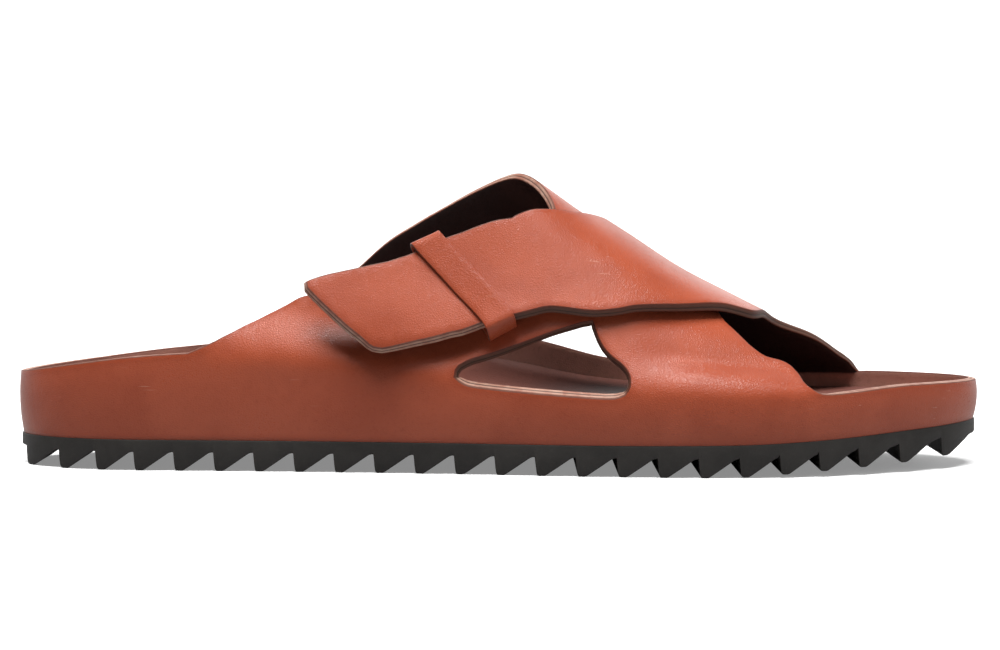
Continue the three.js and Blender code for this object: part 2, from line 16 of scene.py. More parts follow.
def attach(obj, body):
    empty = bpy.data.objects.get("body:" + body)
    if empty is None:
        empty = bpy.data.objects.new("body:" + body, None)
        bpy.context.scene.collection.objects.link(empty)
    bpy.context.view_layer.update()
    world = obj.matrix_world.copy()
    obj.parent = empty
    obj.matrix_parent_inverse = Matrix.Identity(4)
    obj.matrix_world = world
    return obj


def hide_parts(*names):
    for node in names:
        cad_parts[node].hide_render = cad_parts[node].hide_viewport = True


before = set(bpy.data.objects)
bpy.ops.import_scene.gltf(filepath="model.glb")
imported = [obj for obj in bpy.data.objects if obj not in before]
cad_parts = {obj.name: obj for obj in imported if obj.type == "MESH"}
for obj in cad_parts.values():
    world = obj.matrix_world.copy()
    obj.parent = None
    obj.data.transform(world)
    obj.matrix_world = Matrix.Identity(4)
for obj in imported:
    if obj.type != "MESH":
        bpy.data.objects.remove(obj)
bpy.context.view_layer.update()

bl_info = {
    "name": "Crossover slide sandal",
    "version": (1, 0, 0),
    "blender": (4, 5, 0),
    "location": "View3D > Sidebar > Sandal",
    "description": "Leather upper, keeper, footbed and toothed rubber outsole of a slide sandal",
    "category": "Add Mesh",
}

# Frame
ORIGIN = np.array([-145.0, 2.0643, 0.0])

# Last and shell, in millimetres
LENGTH = 290
BALL_WIDTH = 103
COLLAR_HEIGHT = 86
SOLE_HEIGHT = 9
CLEARANCE = 0.3
HEEL_ROUND = 40
TOE_ROUND = 70
SOLE_INSET = 0.9
WALL_TUCK = 1.3
RIM_TUCK = 0.5
WAIST = 0.42
SHOULDER = 0.4
SHOULDER_TURN = 0.16
WING_SHARPER = 0.08
WING_DEEPER = 0.5
WAIST_TURN = 0.5
BRIDGE_TURN = 0.3
LAYER_SINK = 0.2
LAYER_RISE = 2.5
TAB_RISE = 4
KEEPER_GAP = 0.88
STEP_LENGTH = 0.12
WING_ENDS = (0.36, 0.54)
COLLAR_ROOT = 0.186
INNER_STRAP_ROOT = 0.829
OUTER_STRAP_ROOT = (0.684, 0.893)
PATTERN_BOTTOM = 2.0
SOLE_EDGE = 0.35

# Keeper, in millimetres: its fold at each end, its rounded corners, and how far its upper and
# lower runs close in on the strap
KEEPER_BEND = 1.0
KEEPER_CORNER = 0.28
KEEPER_EASE = 0.10
UPPER_RUN_SINK = 0.35
LOWER_RUN_SINK = 0.2

# Teeth of the outsole
TOOTH_COUNT = 24
TOOTH_DEPTH = 5.4
TOOTH_PITCH = 0.0404 * LENGTH
FIRST_TOOTH = 0.3 * TOOTH_PITCH
LONG_TEETH = 3
TOOTH_STRETCH = 0.041 * TOOTH_PITCH

# Plan outline: share of LENGTH, then lateral and medial y as shares of BALL_WIDTH
OUTLINE = np.array([
    (0.00, -0.335, 0.335), (0.17, -0.350, 0.340), (0.31, -0.374, 0.330),
    (0.45, -0.422, 0.325), (0.59, -0.490, 0.398), (0.71, -0.519, 0.471),
    (0.81, -0.482, 0.486), (0.91, -0.398, 0.515), (1.00, -0.330, 0.505),
])
# Rim of the wall: share of LENGTH, then lateral and medial z as shares of COLLAR_HEIGHT
RIM = np.array([
    (0.00, 0.314, 0.314), (0.07, 0.354, 0.341), (0.14, 0.384, 0.370), (0.24, 0.401, 0.404),
    (0.35, 0.372, 0.442), (0.44, 0.328, 0.454), (0.52, 0.293, 0.430), (0.62, 0.272, 0.343),
    (0.72, 0.265, 0.298), (0.83, 0.270, 0.288), (0.92, 0.291, 0.290), (1.00, 0.291, 0.291),
])
# Top line of the last: share of LENGTH, z as a share of COLLAR_HEIGHT, y as a share of BALL_WIDTH,
# and how far the flanks below it draw in, as a share of WAIST
RIDGE = np.array([
    (0.00, 1.570, 0.000, 1.00), (0.20, 1.535, 0.010, 1.00), (0.28, 1.442, 0.010, 1.00),
    (0.35, 1.302, 0.019, 1.00), (0.45, 1.105, 0.029, 0.90), (0.525, 0.984, 0.029, 0.72),
    (0.575, 0.864, 0.029, 0.58), (0.62, 0.771, 0.029, 0.50), (0.68, 0.638, 0.036, 0.47),
    (0.73, 0.556, 0.043, 0.47), (0.79, 0.484, 0.053, 0.47), (0.83, 0.468, 0.058, 0.47),
    (0.88, 0.440, 0.066, 0.47), (0.92, 0.385, 0.070, 0.47), (1.00, 0.302, 0.078, 0.47),
])
# Outsole side view: share of LENGTH, then top face and tooth tips as shares of SOLE_HEIGHT
SOLE = np.array([
    (0.00, 1.000, 0.000), (0.60, 1.000, 0.000), (0.71, 1.035, 0.000), (0.74, 1.050, 0.030),
    (0.80, 1.130, 0.150), (0.865, 1.256, 0.260), (0.91, 1.356, 0.330), (0.955, 1.444, 0.430),
    (1.00, 1.544, 0.640),
])
# Footbed dish: share of LENGTH, then lateral edge, middle and medial edge as shares of
# COLLAR_HEIGHT
DISH = np.array([
    (0.00, 0.279, 0.262, 0.279), (0.14, 0.302, 0.250, 0.302), (0.31, 0.302, 0.244, 0.349),
    (0.45, 0.267, 0.238, 0.360), (0.62, 0.238, 0.227, 0.267), (0.75, 0.227, 0.221, 0.238),
    (0.90, 0.238, 0.233, 0.242), (1.00, 0.250, 0.244, 0.250),
])
# Where the inner strap ends under the outer one: wrap, then share of LENGTH
STEP_DOWN = np.array([
    (-1.0, 0.740), (-0.4, 0.724), (0.0, 0.699), (0.33, 0.673), (0.6, 0.634), (0.8, 0.590),
    (1.0, 0.540),
])
# Lift of the outer strap's free end, as a share of TAB_RISE
TAB_LIFT = np.array([(0.27, 1.00), (0.35, 0.62), (0.41, 0.15), (0.52, 0.00)])
# One tooth: x from its tip as a share of TOOTH_PITCH, z as a share of TOOTH_DEPTH
TOOTH = np.array([
    (-0.080, 1.000), (-0.072, 0.930), (-0.050, 0.420), (-0.030, 0.120), (-0.006, 0.026),
    (0.034, 0.000), (0.140, 0.000), (0.182, 0.028), (0.240, 0.104), (0.520, 0.520),
    (0.770, 0.900), (0.822, 0.968), (0.879, 1.000),
])

# Cut edges of the flat pattern: share of LENGTH, then wrap, which runs from -2 at the lateral
# bottom edge through -1 at the lateral rim, 0 on the ridge and 1 at the medial rim to 2
COLLAR_EDGE = [
    (0.186, 1.000), (0.207, 0.986), (0.238, 0.967), (0.270, 0.941), (0.303, 0.905),
    (0.343, 0.845), (0.381, 0.740), (0.413, 0.650), (0.445, 0.538), (0.477, 0.392),
    (0.500, 0.250), (0.520, 0.075), (0.535, -0.050), (0.546, -0.165), (0.552, -0.265),
    (0.550, -0.340), (0.540, -0.410), (0.518, -0.480), (0.490, -0.560), (0.455, -0.645),
    (0.414, -0.735), (0.372, -0.803), (0.334, -0.850), (0.300, -0.882), (0.283, -0.910),
    (0.261, -0.939), (0.236, -0.963), (0.207, -0.986), (0.186, -1.000),
]
CUTOUT_FRONT = [
    (0.592, -0.728), (0.595, -0.760), (0.599, -0.798), (0.605, -0.834), (0.613, -0.862),
    (0.621, -0.885), (0.627, -0.916), (0.629, -0.950), (0.627, -0.985), (0.622, -1.030),
    (0.615, -1.085), (0.605, -1.103),
]
CUTOUT_BOTTOM = [
    (0.605, -1.103), (0.590, -1.103), (0.560, -1.098), (0.530, -1.097), (0.500, -1.098),
    (0.476, -1.103), (0.466, -1.090), (0.459, -1.045), (0.454, -0.995), (0.459, -0.973),
]
CUTOUT_TOP = [
    (0.459, -0.973), (0.470, -0.952), (0.484, -0.933), (0.499, -0.911), (0.517, -0.881),
    (0.535, -0.847), (0.553, -0.809), (0.570, -0.773), (0.582, -0.746), (0.592, -0.728),
]
INNER_STRAP_FRONT = [
    (0.829, -1.000), (0.817, -0.985), (0.807, -0.958), (0.801, -0.915), (0.797, -0.842),
    (0.791, -0.768), (0.784, -0.726), (0.776, -0.706), (0.765, -0.693), (0.756, -0.664),
    (0.747, -0.618), (0.739, -0.562), (0.731, -0.508), (0.723, -0.455), (0.716, -0.360),
    (0.708, -0.210), (0.698, -0.020), (0.687, 0.165), (0.673, 0.330), (0.655, 0.480),
    (0.634, 0.600), (0.610, 0.690), (0.580, 0.760), (0.545, 0.822), (0.510, 0.880),
]
MEDIAL_CUTOUT_END = [
    (0.510, 0.880), (0.486, 0.930), (0.474, 0.968), (0.477, 1.012), (0.495, 1.030),
]
MEDIAL_CUTOUT_BOTTOM = [
    (0.495, 1.030), (0.550, 1.035), (0.610, 1.035), (0.660, 1.025), (0.684, 1.000),
]
OUTER_STRAP_REAR = [
    (0.305, -0.872), (0.313, -0.860), (0.324, -0.845), (0.338, -0.828), (0.352, -0.811),
    (0.368, -0.790), (0.384, -0.768), (0.397, -0.745), (0.410, -0.720), (0.427, -0.678),
    (0.446, -0.630), (0.461, -0.596), (0.480, -0.547), (0.497, -0.505), (0.510, -0.478),
    (0.514, -0.460), (0.528, -0.405), (0.539, -0.372), (0.551, -0.332), (0.568, -0.268),
    (0.590, -0.120), (0.611, 0.080), (0.629, 0.300), (0.645, 0.520), (0.657, 0.720),
    (0.669, 0.880), (0.684, 1.000),
]
OUTER_STRAP_FRONT = [
    (0.893, 1.000), (0.879, 0.870), (0.866, 0.745), (0.855, 0.635), (0.840, 0.510),
    (0.826, 0.425), (0.811, 0.350), (0.797, 0.270), (0.784, 0.170), (0.774, 0.040),
    (0.766, -0.100), (0.758, -0.240), (0.749, -0.326), (0.736, -0.376), (0.720, -0.418),
    (0.703, -0.472), (0.678, -0.543), (0.654, -0.598), (0.630, -0.649), (0.615, -0.686),
    (0.598, -0.715), (0.585, -0.729), (0.565, -0.742), (0.553, -0.752), (0.544, -0.765),
    (0.533, -0.787), (0.519, -0.812), (0.502, -0.840), (0.483, -0.871), (0.474, -0.887),
    (0.462, -0.905), (0.450, -0.916), (0.434, -0.930), (0.411, -0.945), (0.394, -0.956),
    (0.382, -0.963),
]
TAB_END = [
    (0.382, -0.963), (0.372, -0.963), (0.361, -0.953), (0.347, -0.941), (0.332, -0.926),
    (0.317, -0.907), (0.305, -0.883), (0.305, -0.872),
]
KEEPER_LINE = [
    (0.425, -0.664), (0.437, -0.690), (0.452, -0.722), (0.468, -0.757), (0.483, -0.790),
    (0.494, -0.820), (0.500, -0.845), (0.502, -0.858),
]

# Creases and shoulders worn into the leather: places of the pattern, half width in millimetres,
# and height in millimetres, below zero for a crease
BODY_FOLDS = [
    ([(0.640, -0.800), (0.690, -0.790), (0.745, -0.780), (0.790, -0.800)], 5.5, -1.1),
    ([(0.645, -0.930), (0.700, -0.920), (0.750, -0.915), (0.790, -0.935)], 5.0, 0.6),
    ([(0.240, -1.020), (0.300, -0.985), (0.360, -0.965)], 9.0, 0.5),
    ([(0.395, -0.960), (0.450, -0.985)], 6.0, 0.4),
]

# How far the inner face reaches past the outer one at a cut edge, in millimetres
BEVELS = {"outer strap": 0.9, "cut-out top": 0.5, "cut-out bottom": 1.7, "toe rim": 0.7,
          "elsewhere": 0.2}

# Cross-section of a cut edge: offset out of the sheet in millimetres, share through the leather
EDGE_PROFILE = [
    (0.00, 1.000), (0.20, 0.965), (0.34, 0.860), (0.36, 0.640), (0.27, 0.520), (0.27, 0.480),
    (0.36, 0.360), (0.34, 0.140), (0.20, 0.035), (0.00, 0.000),
]


# Sizes and colours

def length_setting(name, text, default, low, high):
    """Length that a user sets in the panel."""
    return FloatProperty(name=name, description=text, default=default, min=low, max=high,
                         subtype="DISTANCE", unit="LENGTH", precision=5)


def colour_setting(name, text, default):
    """Colour that a user sets in the panel, in linear light."""
    return FloatVectorProperty(name=name, description=text, default=default, size=3,
                               min=0.0, max=1.0, subtype="COLOR")


class SandalSizes(bpy.types.PropertyGroup):
    """Sizes that a user would change."""
    leather: length_setting(
        "Leather", "Thickness of the upper's leather", 0.0024, 0.0015, 0.0035)
    keeper_leather: length_setting(
        "Keeper leather", "Thickness of the keeper's leather", 0.0012, 0.0008, 0.002)
    keeper_width: length_setting(
        "Keeper width", "Width of the keeper's band", 0.0090, 0.006, 0.014)
    mesh_spacing: length_setting(
        "Mesh spacing", "Distance between the points of the leather", 0.0016, 0.0012, 0.004)
    grain_size: length_setting(
        "Grain size", "Width of a cell of the leather's grain", 0.0007, 0.0003, 0.002)


class SandalColours(bpy.types.PropertyGroup):
    """Colours that a user would change."""
    leather: colour_setting("Leather", "Tan leather of the upper", (0.38, 0.078, 0.035))
    leather_deep: colour_setting("Leather, deep", "Darker patches of the tan leather",
                                 (0.28, 0.048, 0.019))
    # Painted shade: the straps' inner side is coloured near black to stand for the shade that falls
    # inside them.
    shaded_lining: colour_setting("Lining", "Inner side of the straps", (0.022, 0.009, 0.008))
    cut_edge: colour_setting("Cut edge", "Sealed edges of the leather", (0.115, 0.050, 0.032))
    raw_edge: colour_setting("Raw edge", "Lighter edges of the rim and collar",
                             (0.54, 0.33, 0.25))
    footbed: colour_setting("Footbed", "Cover of the footbed", (0.18, 0.066, 0.050))
    # Painted light and sheen: the low wall's inner side carries the footbed's cover up to the rim,
    # but is coloured far paler and pinker than the footbed to stand for the light and sheen it
    # catches.
    lit_wall_lining: colour_setting("Wall lining", "Inner side of the low wall", (0.52, 0.25, 0.19))
    rubber: colour_setting("Rubber", "Outsole rubber", (0.020, 0.018, 0.0165))
    floor: colour_setting("Floor", "Pale floor", (0.80, 0.80, 0.80))


class SandalStudio(bpy.types.PropertyGroup):
    """Strengths of the studio lights."""
    key: FloatProperty(name="Key", description="Broad light from above", default=5.4, min=0.0)
    key_breadth: FloatProperty(name="Key breadth", description="Width of the key in degrees",
                               default=40.0, min=1.0, max=170.0)
    fill: FloatProperty(name="Fill", description="Low light from the toe's side", default=1.0,
                        min=0.0)
    front_strip: FloatProperty(name="Front strip", description="Shine on the steep leather",
                               default=0.35, min=0.0)
    top_strip: FloatProperty(name="Top strip", description="Shine on the shoulders", default=1.4,
                             min=0.0)
    surround: FloatProperty(name="Surround", description="Even light from all round",
                            default=0.07, min=0.0)
    backdrop: FloatProperty(name="Backdrop", description="Light from the white wall behind",
                            default=1.4, min=0.0)
    floor_bounce: FloatProperty(name="Floor bounce", description="Share of light thrown back up",
                                default=0.32, min=0.0, max=1.0)


# The last

EASED = {}
EASED_AT = np.linspace(0.0, 1.0, 1161)


def follow(rows, column, at):
    """Smooth curve through a table's rows that never overshoots them."""
    xs, ys = rows[:, 0], rows[:, column]
    slope = np.diff(ys) / np.diff(xs)
    before, after = slope[:-1], slope[1:]
    total = np.where(before + after == 0, 1, before + after)
    inner = np.where(before * after > 0, 2 * before * after / total, 0)
    tangent = np.concatenate([slope[:1], inner, slope[-1:]])
    x = np.clip(at, xs[0], xs[-1])
    i = np.clip(np.searchsorted(xs, x, side="right") - 1, 0, len(xs) - 2)
    step = xs[i + 1] - xs[i]
    s = (x - xs[i]) / step
    return ((1 + 2 * s) * (1 - s) ** 2 * ys[i] + s * (1 - s) ** 2 * step * tangent[i]
            + s * s * (3 - 2 * s) * ys[i + 1] + s * s * (s - 1) * step * tangent[i + 1])


def along(rows, column, x):
    """A last table's value at X, eased over its rows so that polished leather shows no kink."""
    key = (id(rows), column)
    if key not in EASED:
        reach = 45
        weights = np.exp(-0.5 * (np.arange(-reach, reach + 1) / (reach / 3)) ** 2)
        values = np.pad(follow(rows, column, EASED_AT), reach, mode="reflect", reflect_type="odd")
        EASED[key] = np.convolve(values, weights / weights.sum(), mode="valid")
    return np.interp(x / LENGTH, EASED_AT, EASED[key])


def smoothstep(value, low, high):
    """0 below low, 1 above high, and smooth between."""
    t = np.clip((value - low) / (high - low), 0, 1)
    return t * t * (3 - 2 * t)


def sole_top(x):
    """Height of the outsole's top face."""
    return SOLE_HEIGHT * along(SOLE, 1, x)


def sole_base(x):
    """Height of the tooth tips."""
    return SOLE_HEIGHT * along(SOLE, 2, x)


def heading(x):
    """How far the wall faces fore or aft: -1 at the heel, 0 along the sides, 1 at the toe."""
    return np.clip(1 - (LENGTH - x) / TOE_ROUND, 0, 1) - np.clip(1 - x / HEEL_ROUND, 0, 1)


def across(x):
    """How far the wall faces sideways."""
    return np.sqrt(np.clip(1 - heading(x) ** 2, 0, 1))


def outline_point(x, side, inset):
    """Point of the plan outline, moved in by an inset."""
    lateral = BALL_WIDTH * along(OUTLINE, 1, x)
    medial = BALL_WIDTH * along(OUTLINE, 2, x)
    y = (lateral + medial) / 2 + side * (medial - lateral) / 2 * across(x)
    return x - heading(x) * inset, y - side * across(x) * inset


def turn_at(c):
    """How far the last has turned in over the wall."""
    return (1 - np.minimum(np.abs(c), 1)) * math.pi / 2


def on_wing(x):
    """1 along the heel's wings and 0 along the straps."""
    return 1 - smoothstep(np.asarray(x) / LENGTH, *WING_ENDS)


def draw_in(x, turn, share, spread):
    """How far a flank has drawn in, as a share of its span."""
    return (WAIST * along(RIDGE, 3, x) * share * (1 - np.exp(-((turn / spread) ** 2)))
            * np.cos(turn))


def wrap(x, c, leather, lean=0.0):
    """Inner face of the leather at places of the pattern; lean tips the heel's wings inwards."""
    side = np.where(c < 0, -1.0, 1.0)
    rim = COLLAR_HEIGHT * np.where(side < 0, along(RIM, 1, x), along(RIM, 2, x))
    bottom = sole_top(x) + CLEARANCE
    q = np.clip(2 - np.abs(c), 0, 1)
    tuck = WALL_TUCK * (1 - q) ** 3 + RIM_TUCK * q ** 5
    wall_x, wall_y = outline_point(x, side, leather + tuck)
    top = COLLAR_HEIGHT * along(RIDGE, 1, x)
    middle = BALL_WIDTH * along(RIDGE, 2, x)
    turn = turn_at(c)
    reach = (np.clip(np.cos(turn), 0, 1) ** 0.9
             - draw_in(x, turn, SHOULDER * (1 + WING_DEEPER * lean * on_wing(x)),
                       SHOULDER_TURN - WING_SHARPER * lean * on_wing(x))
             - draw_in(x, turn, 1 - SHOULDER, WAIST_TURN))
    on_wall = np.abs(c) >= 1
    y = np.where(on_wall, wall_y, middle + (wall_y - middle) * reach)
    z = np.where(on_wall, bottom + (rim - bottom) * q, rim + (top - rim) * np.sin(turn))
    return np.stack([wall_x, y, z], axis=-1)


def unit(vectors):
    """Vectors brought to length 1."""
    return vectors / np.maximum(np.linalg.norm(vectors, axis=-1, keepdims=True), 1e-12)


def outward(x, c, leather, lean=0.0):
    """Outward direction: level on the wall, square to the surface above it."""
    side = np.where(c < 0, -1.0, 1.0)
    level = np.stack([heading(x), side * across(x), np.zeros_like(x)], axis=-1)
    inside = np.sign(c) * np.minimum(np.abs(c), 0.98)
    ahead = wrap(x + 0.5, inside, leather, lean) - wrap(x - 0.5, inside, leather, lean)
    over = wrap(x, inside + 0.01, leather, lean) - wrap(x, inside - 0.01, leather, lean)
    square = unit(np.cross(ahead, over))
    share = smoothstep(1 - np.abs(c), 0, 0.1)[..., None]
    return unit(level * (1 - share) + square * share)


def place(x, c, height, leather, lean=0.0):
    """Point of the pattern on the last, at a height above it."""
    x, c = np.asarray(x, float), np.asarray(c, float)
    way = outward(x, c, leather, lean)
    return wrap(x, c, leather, lean) + way * np.asarray(height, float)[..., None]


def strap_lift(x, c, leather):
    """How high the outer strap's inner face lies over the last."""
    beyond = (x / LENGTH - follow(STEP_DOWN, 1, c)) / STEP_LENGTH
    on_strap = (leather - LAYER_SINK) * (1 - smoothstep(beyond, 0.05, 1))
    rise = LAYER_RISE * smoothstep(-c, 0.08, 0.5) * (1 - smoothstep(x / LENGTH, 0.70, 0.79))
    tilt = 0.5 + 0.6 * smoothstep(-c, 0.84, 0.97)
    turn = turn_at(c)
    _, wall_y = outline_point(x, np.where(c < 0, -1.0, 1.0), leather + RIM_TUCK)
    hollow = draw_in(x, turn, SHOULDER, SHOULDER_TURN) - draw_in(x, turn, SHOULDER, BRIDGE_TURN)
    bridge = (np.abs(wall_y - BALL_WIDTH * along(RIDGE, 2, x)) * hollow
              * np.abs(outward(x, c, leather)[..., 1]))
    return on_strap + rise + bridge + TAB_RISE * tilt * follow(TAB_LIFT, 1, x / LENGTH)


def to_frame(points):
    """Shaping millimetres to the frame's metres."""
    return (np.asarray(points, float) + ORIGIN) / 1000


# The flat pattern

ARCH_REACH = 72.0
WALL_REACH = 27.0
HEEL_REACH = 59.0
TOE_REACH = 92.0


def x_to_u(x):
    """Distance along the foot, measured on the leather and so longer round the ends."""
    x = np.asarray(x, float)
    heel = np.arccos(np.clip(1 - x / HEEL_ROUND, -1, 1)) / (math.pi / 2)
    toe = np.arccos(np.clip(1 - (LENGTH - x) / TOE_ROUND, -1, 1)) / (math.pi / 2)
    return np.where(x < HEEL_ROUND, HEEL_ROUND - HEEL_REACH * (1 - heel),
                    np.where(x > LENGTH - TOE_ROUND, LENGTH - TOE_ROUND + TOE_REACH * (1 - toe), x))


def u_to_x(u):
    """The way back from distance along the leather to X."""
    u = np.asarray(u, float)
    heel = np.clip(1 - (HEEL_ROUND - u) / HEEL_REACH, 0, 1)
    toe = np.clip(1 - (u - LENGTH + TOE_ROUND) / TOE_REACH, 0, 1)
    return np.where(u < HEEL_ROUND, HEEL_ROUND * (1 - np.cos(heel * math.pi / 2)),
                    np.where(u > LENGTH - TOE_ROUND,
                             LENGTH - TOE_ROUND * (1 - np.cos(toe * math.pi / 2)), u))


def c_to_v(c):
    """Wrap to distance across the leather."""
    c = np.asarray(c, float)
    return np.sign(c) * (np.minimum(np.abs(c), 1) * ARCH_REACH
                         + np.maximum(np.abs(c) - 1, 0) * WALL_REACH)


def v_to_c(v):
    """The way back from distance across the leather to wrap."""
    v = np.asarray(v, float)
    return np.sign(v) * (np.minimum(np.abs(v), ARCH_REACH) / ARCH_REACH
                         + np.maximum(np.abs(v) - ARCH_REACH, 0) / WALL_REACH)


def to_flat(points):
    """Places given as share of LENGTH and wrap, on the flat leather."""
    points = np.asarray(points, float)
    return np.stack([x_to_u(points[:, 0] * LENGTH), c_to_v(points[:, 1])], axis=-1)


def cut_line(points, spacing, straight=False):
    """Evenly spaced points of a smooth cut through places of the pattern."""
    p = to_flat(points)
    if straight:
        dense = np.concatenate([np.linspace(a, b, 60) for a, b in zip(p[:-1], p[1:])])
    else:
        padded = np.concatenate([[2 * p[0] - p[1]], p, [2 * p[-1] - p[-2]]])
        t = np.linspace(0, 1, 24)[:, None]
        dense = []
        for a, b, c, d in zip(padded[:-3], padded[1:-2], padded[2:-1], padded[3:]):
            dense.append(0.5 * (2 * b + (c - a) * t + (2 * a - 5 * b + 4 * c - d) * t ** 2
                                + (3 * b - a - 3 * c + d) * t ** 3))
        dense = np.concatenate(dense)
    gaps = np.linalg.norm(np.diff(dense, axis=0), axis=1)
    run = np.concatenate([[0], np.cumsum(gaps)])
    count = max(2, int(round(run[-1] / spacing)) + 1)
    at = np.linspace(0, run[-1], count)
    return np.stack([np.interp(at, run, dense[:, k]) for k in (0, 1)], axis=-1)


def closed_outline(*cuts):
    """One closed outline from cuts that follow each other."""
    return np.concatenate([cut[:-1] for cut in cuts])


def inside(points, outlines):
    """Which points lie inside the outlines, holes left out."""
    result = np.zeros(len(points), bool)
    x, y = points[:, 0], points[:, 1]
    for outline in outlines:
        for (ax, ay), (bx, by) in zip(outline, np.roll(outline, -1, axis=0)):
            if ay == by:
                continue
            crosses = (ay > y) != (by > y)
            result ^= crosses & (x < (bx - ax) * (y - ay) / (by - ay) + ax)
    return result


def fill_outline(outlines, spacing):
    """Triangles that fill the outlines: places on the flat leather and their triangles."""
    rim = np.concatenate(outlines)
    low, high = rim.min(axis=0), rim.max(axis=0)
    rows = []
    for j, v in enumerate(np.arange(low[1], high[1], spacing * 0.866)):
        shift = 0.5 * spacing * (j % 2)
        us = np.arange(low[0] + shift, high[0], spacing)
        rows.append(np.stack([us, np.full_like(us, v)], axis=-1))
    grid = np.concatenate(rows)
    grid = grid[inside(grid, outlines)]
    tree = KDTree(len(rim))
    for k, p in enumerate(rim):
        tree.insert((p[0], p[1], 0), k)
    tree.balance()
    clear = [tree.find((p[0], p[1], 0))[2] > 0.6 * spacing for p in grid]
    points = np.concatenate([rim, grid[np.array(clear)]])
    edges = []
    start = 0
    for outline in outlines:
        n = len(outline)
        edges += [(start + k, start + (k + 1) % n) for k in range(n)]
        start += n
    result = delaunay_2d_cdt([Vector(p) for p in points], edges, [], 0, 1e-6)
    places = np.array([tuple(p) for p in result[0]])
    triangles = np.array([f for f in result[2] if len(f) == 3])
    middles = places[triangles].mean(axis=1)
    triangles = triangles[inside(middles, outlines)]
    a, b, c = (places[triangles[:, k]] for k in range(3))
    turned = (b - a)[:, 0] * (c - a)[:, 1] - (b - a)[:, 1] * (c - a)[:, 0] < 0
    triangles[turned] = triangles[turned][:, ::-1]
    return places, triangles


def fold_height(places, folds):
    """Height of the creases and shoulders at places of the flat leather."""
    height = np.zeros(len(places))
    for line, width, rise in folds:
        path = cut_line(line, 2.0)
        nearest = np.full(len(places), np.inf)
        share = np.zeros(len(places))
        for k, (a, b) in enumerate(zip(path[:-1], path[1:])):
            step = b - a
            t = np.clip(((places - a) @ step) / (step @ step), 0, 1)
            distance = np.linalg.norm(places - a - t[:, None] * step, axis=1)
            closer = distance < nearest
            nearest = np.where(closer, distance, nearest)
            share = np.where(closer, (k + t) / (len(path) - 1), share)
        fade = np.sin(np.clip(share, 0, 1) * math.pi) ** 0.6
        height += rise * fade * np.exp(-0.5 * (nearest / (0.6 * width)) ** 2)
    return height


# Meshes

def point_normals(points, triangles):
    """Outward direction of a surface at its points."""
    a, b, c = (points[triangles[:, k]] for k in range(3))
    faces = np.cross(b - a, c - a)
    normals = np.zeros_like(points)
    for k in range(3):
        np.add.at(normals, triangles[:, k], faces)
    return unit(normals)


def relaxed(points, triangles, held, rounds):
    """Points eased towards their neighbours, apart from the held ones."""
    pairs = np.concatenate([triangles[:, [0, 1]], triangles[:, [1, 2]], triangles[:, [2, 0]]])
    pairs = np.concatenate([pairs, pairs[:, ::-1]])
    count = np.bincount(pairs[:, 0], minlength=len(points))[:, None]
    free = ~held[:, None]
    for _ in range(rounds):
        total = np.zeros_like(points)
        np.add.at(total, pairs[:, 0], points[pairs[:, 1]])
        points = np.where(free, points + 0.5 * (total / np.maximum(count, 1) - points), points)
    return points


def eased_round(values, following, rounds):
    """Values at the points of closed edges, eased along them."""
    before = np.empty(len(values), int)
    before[following] = np.arange(len(values))
    for _ in range(rounds):
        values = 0.5 * values + 0.25 * (values[following] + values[before])
    return values


def open_edges(triangles):
    """Edges that only one triangle has, in that triangle's direction, as next[point]."""
    directed = {(t[k], t[(k + 1) % 3]) for t in triangles.tolist() for k in range(3)}
    return {a: b for a, b in directed if (b, a) not in directed}


def new_piece(name, points, faces, attributes=None, materials=(), face_materials=None,
              sharp_angle=None):
    """Mesh piece in the frame from shaping points, smooth but for edges over the sharp angle."""
    mesh = bpy.data.meshes.new(name)
    mesh.from_pydata(to_frame(points).tolist(), [], [list(map(int, f)) for f in faces])
    mesh.validate()
    for material in materials:
        mesh.materials.append(material)
    if face_materials is not None:
        mesh.polygons.foreach_set("material_index", np.asarray(face_materials, np.int32))
    for key, values in (attributes or {}).items():
        layer = mesh.attributes.new(key, "FLOAT", "POINT")
        layer.data.foreach_set("value", np.asarray(values, np.float32))
    mesh.shade_smooth()
    if sharp_angle is not None:
        mesh.set_sharp_from_angle(angle=sharp_angle)
    piece = bpy.data.objects.new(name, mesh)
    bpy.context.scene.collection.objects.link(piece)
    return piece


def seat(piece, slot, *nodes):
    """The piece rides with the sandal and stands for the frame's nodes."""
    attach(piece, "root")
    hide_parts(*nodes)


def ring_faces(count, ring, closed):
    """Quads between neighbouring rings of a loft."""
    faces = []
    for i in range(count if closed else count - 1):
        a, b = i * ring, (i + 1) % count * ring
        faces += [(a + j, a + (j + 1) % ring, b + (j + 1) % ring, b + j) for j in range(ring)]
    return faces


# Materials

